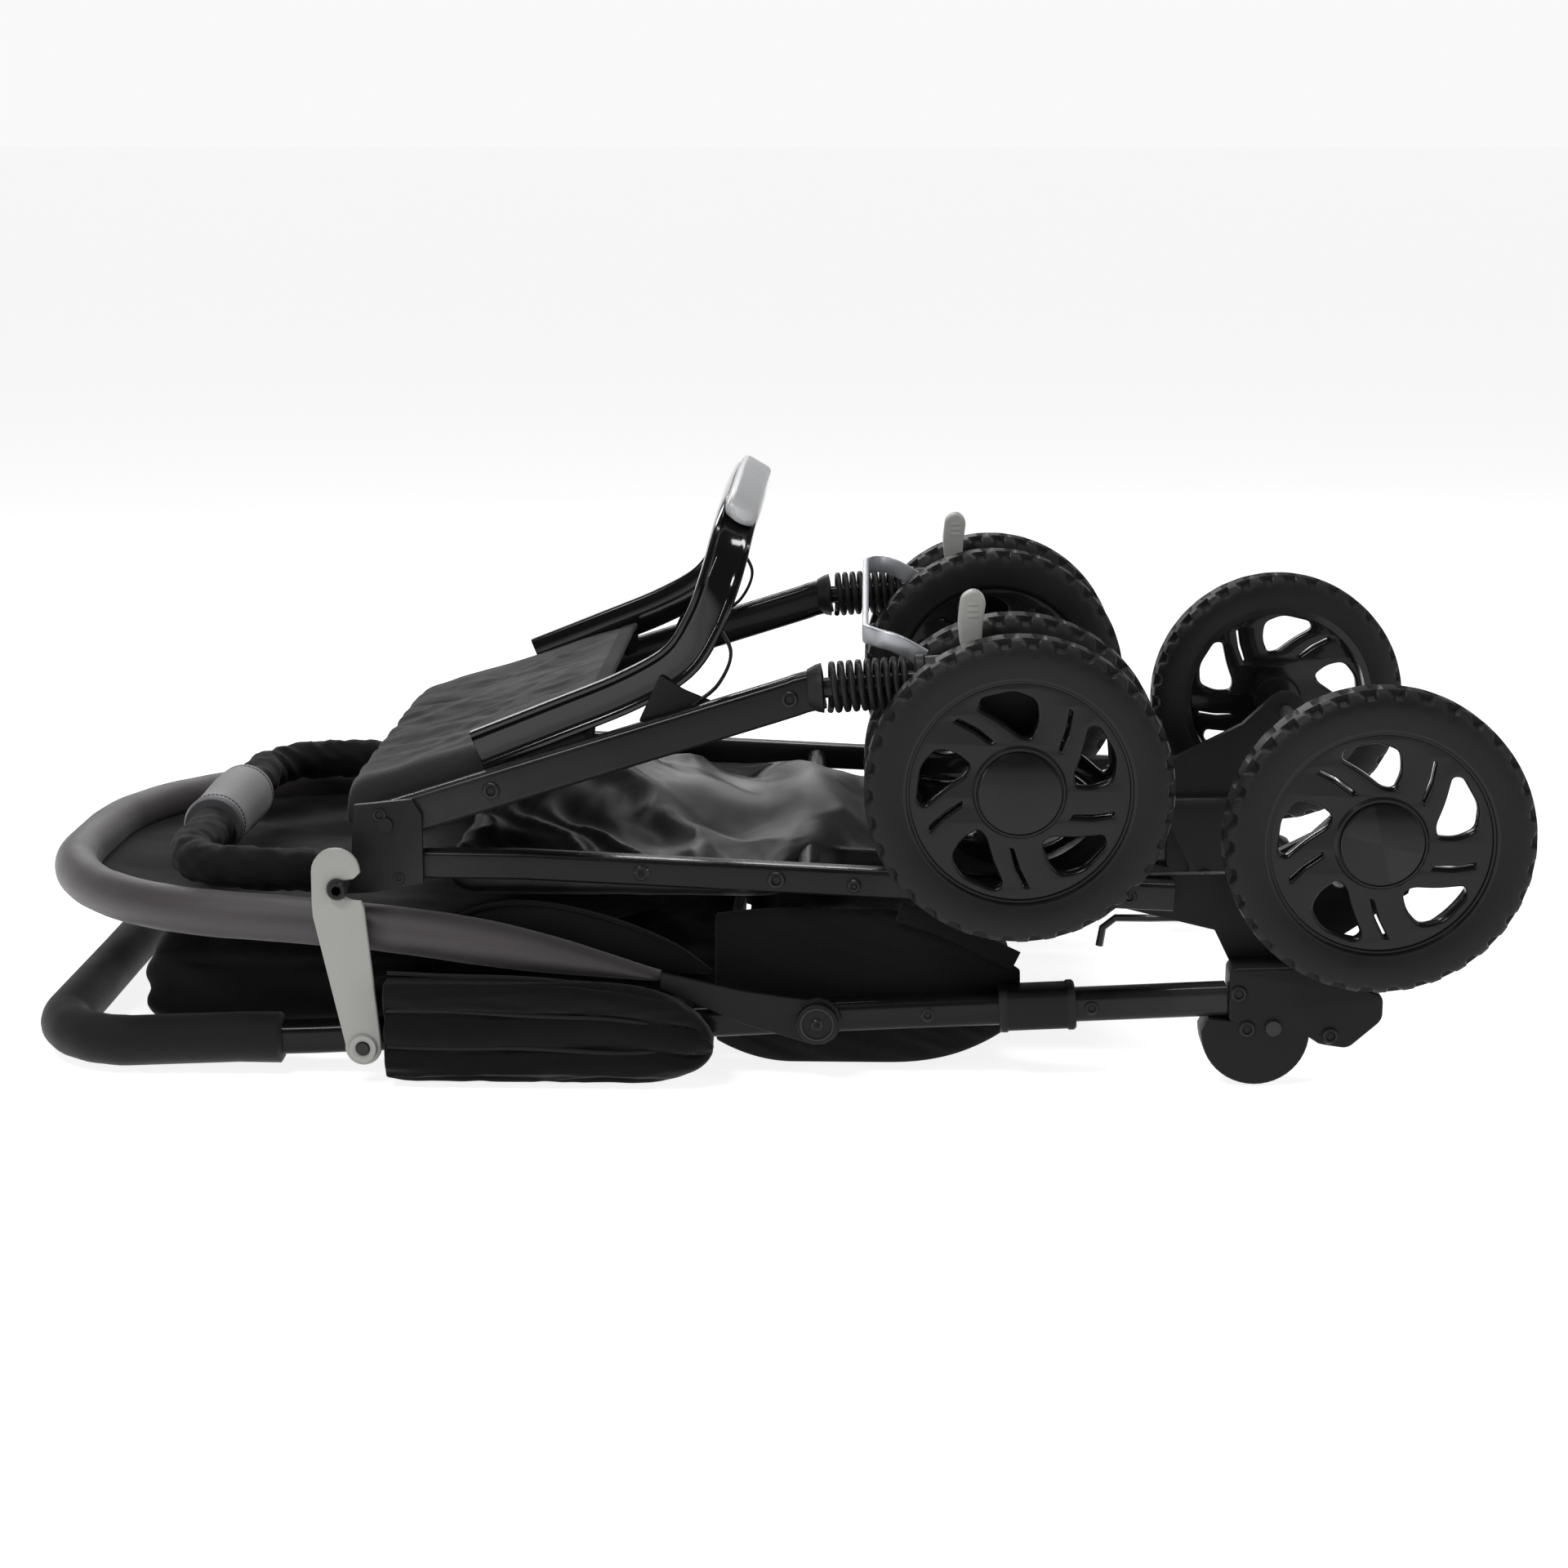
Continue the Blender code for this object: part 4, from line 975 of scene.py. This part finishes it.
def cabin():
    a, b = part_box("cabin_fabric")
    reach = 0.0545

    def upper(x):
        if x < CANOPY.x:
            d = CANOPY.x - x
            return CANOPY.z + math.sqrt(max(reach ** 2 - d * d, 0.0))
        share = (x - CANOPY.x) / (b.x - CANOPY.x)
        return 0.0935 - 0.020 * share ** 2.2

    def ring(x):
        end = dome(x, a.x - 0.012, b.x + 0.004, 0.050, 2.2)
        z1 = upper(x) - 0.002
        share = max(0.0, (x - 0.10) / (b.x - 0.10))
        z0 = a.z + 0.0005 + 0.014 * share ** 2
        return 0.0, (z0 + z1) / 2, (b.y - 0.003) * (0.94 + 0.06 * end), (z1 - z0) / 2 * max(end, 0.12), 6.0

    def relief(p, n):
        flow = Vector((p.x, p.y, p.z + 0.42 * (p.x - a.x)))
        long = wrinkle(flow, 0.020, (6, 1.4, 1), 11, 0.8)
        wide = wrinkle(flow, 0.055, (2.2, 1.2, 1), 12, 0.9)
        return 0.0022 * long + 0.0026 * wide - 0.0036

    for name, side in SIDES:
        grid = []
        for c in range(73):
            x = a.x - 0.012 + (0.1730 - a.x + 0.012) * c / 72
            late = max(0.0, (x - 0.085) / 0.088)
            early = max(0.0, 1 - (x - a.x + 0.012) / 0.050) ** 2
            top = 0.1065 - 0.040 * late ** 1.5 - 0.006 * early
            foot = 0.0035 + 0.030 * late ** 2.5 + 0.012 * early
            column = []
            for k in range(33):
                t = k / 32
                p = Vector((x, side * 0.1840, foot + (top - foot) * t))
                flow = Vector((p.x, 0.0, p.z + 0.36 * (p.x - a.x)))
                pull = math.sin(math.pi * t) ** 0.5
                squeeze = math.exp(-((p.z - 0.042) / 0.012) ** 2)
                p.y += side * (0.0042 * pull * (1 - squeeze) + 0.0030 * wrinkle(flow, 0.016, (7, 1, 1), 71, 0.8) * pull)
                p.y = side * (min(abs(p.y), 0.1884) - 0.0080 * early)
                column.append(p)
            grid.append(column)
        sheet_piece(f"cabin_side_{name}", grid, 0.0010, CLOTH, "handle_frame", (),
                    width=0.185)
        strap = smooth_line([(0.0950, side * 0.1905, 0.1060), (0.1250, side * 0.1905, 0.0960),
                             (0.1500, side * 0.1905, 0.0835), (0.1700, side * 0.1905, 0.0740)], 5)
        piece(f"tie_strap_{name}", [bar(strap, soft_box(0.0014, 0.0130, 0.0005, 2), Y)], CLOTH, "handle_frame")
    bulk("cabin_folds", spread(a.x + 0.001, b.x - 0.001, 90), ring, relief, CLOTH, "handle_frame",
         ["cabin_fabric"], clamp_to(a, b))


def seat():
    a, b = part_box("seat_fabric")
    bar_mid = centre("rail_crossbar")

    def ring(x):
        end = dome(x, a.x, b.x, 0.022)
        narrow = min(max((x - 0.005) / 0.055, 0.0), 1.0)
        narrow = narrow * narrow * (3 - 2 * narrow)
        half = (b.y - 0.004) * (1 - narrow) + 0.1085 * narrow
        top = b.z - 0.001 - 0.006 * (x - a.x) / (b.x - a.x)
        return 0.0, (a.z + top) / 2, half * (0.9 + 0.1 * end), (top - a.z) / 2 * max(end, 0.08), 4.0

    def relief(p, n):
        up = max(n.z, 0.0)
        turned = Vector((p.x + 0.5 * p.y, p.y - 0.3 * p.x, p.z))
        big = wrinkle(turned, 0.085, (0.8, 2.4, 1), 21, 0.7)
        fine = wrinkle(turned, 0.030, (0.9, 2.4, 1), 22, 0.8)
        clear = 1 - math.exp(-((p.x - bar_mid.x) / 0.022) ** 2)
        return up * clear * (0.0120 * big - 0.0120) + (0.0004 + 0.0016 * up) * fine - 0.0010

    bulk("seat_folds", spread(a.x + 0.001, b.x - 0.001, 110), ring, relief, SATIN, "chassis",
         ["seat_fabric"], clamp_to(a, b))


def sheet_piece(name, grid, thickness, mat, body, replaces=(), width=None,
                declared=True):
    """A thin cloth from a grid of points, with a real thickness."""
    shape = loft(grid, caps=False, closed=False)
    obj = piece(name, [shape], mat, body, replaces, angle=180)
    area = sum(f.area for f in obj.data.polygons)
    mod = obj.modifiers.new("thickness", "SOLIDIFY")
    mod.thickness = thickness
    mod.offset = 0.0
    smooth = obj.modifiers.new("subdivide", "SUBSURF")
    smooth.levels = smooth.render_levels = 1
    if declared:
        width = width or math.sqrt(area)
    return obj


def leg_top(x):
    """Height of the front legs' centre line."""
    return 0.1597 + (x + 0.2414) * 0.3176


def leg_panel():
    """The cloth between the front legs, drawn over them at the sides and rolled over the elbows."""
    a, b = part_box("leg_panel")
    start, end = Vector((a.x, 0, 0.1860)), Vector((b.x, 0, 0.2305))
    along = end - start
    square = Vector((-along.z, 0, along.x)).normalized()
    grid = []
    rows, columns, flat_y, roll = 52, 96, b.y - 0.006, 0.16
    for r in range(rows + 1):
        t = (r / rows) * (1 + roll) - roll
        row = []
        for c in range(columns + 1):
            s_y = (2 * c / columns - 1) * 1.12
            over = max(abs(s_y) - 1.0, 0.0) / 0.12
            y = math.copysign(min(abs(s_y), 1.0) * flat_y + 0.0195 * math.sin(over * math.pi / 2), s_y)
            p = start + along * max(t, -0.35 * roll) + Vector((0, y, 0))
            if t < 0:
                p.z -= 0.026 * (t / roll) ** 2
                p.x -= 0.006 * math.sin(math.pi * -t / roll)
            edge = 1 - min(abs(s_y), 1.0) ** 6
            drop = max(0.0, p.z - (leg_top(p.x) + 0.0035)) * (1 - math.cos(over * math.pi / 2))
            p.z -= drop
            sag = -0.0030 * math.sin(math.pi * max(t, 0)) * edge
            folds = 0.0030 * wrinkle(p, 0.045, (1.7, 0.9, 1), 31, 0.8) + 0.0010 * wrinkle(p, 0.016, (1.4, 0.8, 1), 32)
            row.append(p + (sag + folds * min(1, 5 * (1 - t)) * (0.25 + 0.75 * edge)) * square)
        grid.append(row)
    sheet_piece("leg_panel_cloth", grid, 0.0016, CHARCOAL, "front_legs", ["leg_panel"],
                width=2 * b.y)
    hem = [grid[-1][c] for c in range(0, columns + 1, 2)]
    piece("leg_panel_binding", [bar(hem, soft_box(0.0036, 0.0120, 0.0014, 3), square)], CLOTH, "front_legs")


def bumper():
    a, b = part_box("bumper_bar")
    mid_z = (a.z + b.z) / 2
    radius = (b.z - a.z) / 2
    y_leg, x_bar, corner = b.y - radius, a.x + radius, 0.055
    line = [(b.x - 0.001, y_leg, mid_z), (b.x - 0.02, y_leg, mid_z)]
    for i in range(13):
        angle = math.radians(90 + 90 * i / 12)
        line.append((x_bar + corner + corner * math.cos(angle), y_leg - corner + corner * math.sin(angle), mid_z))
    line += [(x_bar, 0.08, mid_z), (x_bar, 0.0, mid_z)]
    path = []
    for p, q in zip(mirrored(line), mirrored(line)[1:]):
        steps = max(1, round((q - p).length / 0.004))
        path += [p.lerp(q, i / steps) for i in range(steps)]
    path.append(mirrored(line)[-1])

    def sleeve(i, share):
        p = path[i]
        grow = 1 if 2 < i < len(path) - 3 else 0.90
        points = []
        for k in range(40):
            t = 2 * math.pi * k / 40
            spot = Vector((p.x + radius * math.cos(t) * 0.6, p.y + radius * math.cos(t) * 0.6, radius * math.sin(t)))
            rib = 0.0016 * wrinkle(spot, 0.013, (1, 1, 2.2), 41, 0.7) - 0.0016
            seam = -0.0012 * math.exp(-((t - 2.2) / 0.07) ** 2)
            r = radius * grow + rib + seam
            points.append((r * math.cos(t), r * math.sin(t)))
        return points

    sock = piece("bumper_sleeve", [bar(path, sleeve, Z)], CLOTH, "chassis", ["bumper_bar"], angle=180)
    half, cuff_r = high("bumper_cuff").y, high("bumper_cuff").z - mid_z
    rows = 60
    profile = []
    for i in range(rows + 1):
        y = -half + 2 * half * i / rows
        from_end = half - abs(y)
        r = cuff_r - 0.0008
        r -= 0.0016 * math.exp(-(from_end / 0.0020) ** 2)
        r -= 0.0008 * math.exp(-((from_end - 0.0085) / 0.0012) ** 2)
        r += 0.0005 * math.sin(y * 60) * min(1, from_end / 0.01)
        profile.append((r, y))
    profile = [(0.0170, -half + 0.0005)] + profile + [(0.0170, half - 0.0005)]
    cuff = piece("bumper_cuff_cloth", [lathe(profile, (x_bar, 0, mid_z), Y, 72)], CUFF, "chassis",
                 ["bumper_cuff"], angle=60)
    stitches = []
    for y0 in (-half + 0.0085, half - 0.0085):
        for k in range(44):
            t0 = 2 * math.pi * k / 44
            dash = [Vector((x_bar + (cuff_r - 0.0011) * math.cos(t0 + u), y0, mid_z + (cuff_r - 0.0011) * math.sin(t0 + u)))
                    for u in (0.0, 0.03, 0.06, 0.09)]
            stitches.append(bar(dash, oval(0.0004, 0.0004, 6), Y))
    piece("cuff_stitches", stitches, THREAD, "chassis")


def bow():
    """The canopy's front bow in its cloth sleeve, which thins out towards the hubs."""
    a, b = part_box("canopy_bow")
    radius = 0.0155
    leg_y, bar_x, corner = b.y - radius, a.x + radius, 0.175
    start_x = b.x

    flat = [(start_x - 0.18 * i / 18, leg_y) for i in range(19)]
    for i in range(37):
        angle = math.radians(90 + 90 * i / 36)
        flat.append((bar_x + corner + corner * math.cos(angle), leg_y - corner + corner * math.sin(angle)))
    flat.append((bar_x, 0.0))
    path = mirrored([(x, y, bow_height(x)) for x, y in flat])

    def cloth(i, share):
        p = path[i]
        thin = min(1.0, max(0.0, (start_x - p.x) / 0.13))
        thin = 0.16 + 0.84 * math.sin(thin * math.pi / 2)
        points = []
        for k in range(40):
            t = 2 * math.pi * k / 40
            ripple = 0.0004 * wrinkle(Vector((p.x, p.y, math.sin(t) * 0.02)), 0.05, (1, 1, 1), 51)
            seam = 0.0011 * math.exp(-((t - 4.35) / 0.05) ** 2)
            points.append(((radius + ripple + seam - 0.0008) * math.cos(t) * thin,
                           (radius + ripple + seam - 0.0008) * math.sin(t) * (0.55 + 0.45 * thin)))
        return points

    cover = piece("canopy_bow_sleeve", [bar(path, cloth, Z)], COVER, "canopy", ["canopy_bow"],
                  angle=180)
    for name, side in SIDES:
        refined(f"canopy_hub_{name}", PLASTIC, "canopy", 0.0010)
        face = max(abs(low(f"canopy_hub_{name}").y), abs(high(f"canopy_hub_{name}").y))
        rings = lathe([(0.0112, -0.0004), (0.0108, 0.0008), (0.0094, 0.0008), (0.0090, -0.0004)],
                      (CANOPY.x, side * face, CANOPY.z), (0, side, 0), 40)
        screw = bolt(CANOPY.x, CANOPY.z, side, face, 0.0038, 0.0016)
        piece(f"canopy_knob_{name}", [rings, *screw], PAINT, "canopy")
        piping_line = smooth_line([(-0.2050, side * 0.1850, 0.0905), (-0.1700, side * 0.1850, 0.1060),
                                   (-0.1350, side * 0.1850, 0.1085), (-0.0900, side * 0.1850, 0.0985),
                                   (-0.0500, side * 0.1850, 0.0820), (-0.0250, side * 0.1850, 0.0640)], 8)
        gusset = []
        for i, p in enumerate(piping_line):
            foot = 0.062
            column = []
            for k in range(13):
                z = foot + (p.z - foot) * k / 12
                bulge = 0.0030 * math.sin(math.pi * k / 12) + 0.0010 * wrinkle(Vector((p.x, 0, z)), 0.02, (1, 1, 1), 55)
                column.append(Vector((p.x, side * (0.1825 + bulge), z)))
            gusset.append(column)
        sheet_piece(f"canopy_gusset_{name}", gusset, 0.0012, CLOTH, "canopy", (),
                           width=0.19)
        piece(f"canopy_piping_{name}", [bar(piping_line, oval(0.0014, 0.0014, 10), Y)], CLOTH, "canopy")
    return path


def canopy_roof(path):
    """The roof cloth: one sheet that hangs inside the bow and lies on the folded bundle."""
    columns, rows = 60, 44
    rim = [p for p in path if p.x < -0.10]
    grid = []
    for c in range(columns + 1):
        spot = rim[round(c * (len(rim) - 1) / columns)]
        inward = Vector((-0.13, spot.y * 0.25, 0.084)) - spot
        flat = Vector((inward.x, inward.y, 0))
        first = spot + flat.normalized() * 0.0125 + Vector((0, 0, -0.006))
        last = Vector((-0.060 - 0.05 * math.cos(spot.y * 8), spot.y * 0.55, 0.0865))
        row = []
        for r in range(rows + 1):
            t = r / rows
            p = first.lerp(last, t)
            drop = 1 - (1 - min(t * 4.0, 1.0)) ** 2
            p.z = first.z + (0.0880 - first.z) * drop
            edge = min(1.0, t * 8, (1 - t) * 5)
            p.z += edge * (0.0022 * wrinkle(p, 0.055, (2.0, 0.9, 1), 61, 0.8) + 0.0009 * wrinkle(p, 0.02, (1, 1, 1), 62))
            row.append(p)
        grid.append(row)
    sheet_piece("canopy_roof_cloth", grid, 0.0010, CLOTH, "canopy", ())


def nodes_left_showing():
    """A better finish on the CAD nodes that stay."""
    finish = {"hinge_pin_left": PAINT, "hinge_pin_right": PAINT, "latch_stud": PAINT, "latch_bolt": PAINT,
              "wire_stay": PAINT}
    for node, mat in finish.items():
        obj = frame["nodes"][node]
        for slot in obj.material_slots:
            slot.material = mat


camera()
studio()
wheels()
handle_frame()
latch()
chassis()
front_legs()
front_carriage()
canopy_bundle()
canopy_sides()
pleat_highlight_cords()
cabin()
seat()
leg_panel()
bumper()
canopy_roof(bow())
nodes_left_showing()
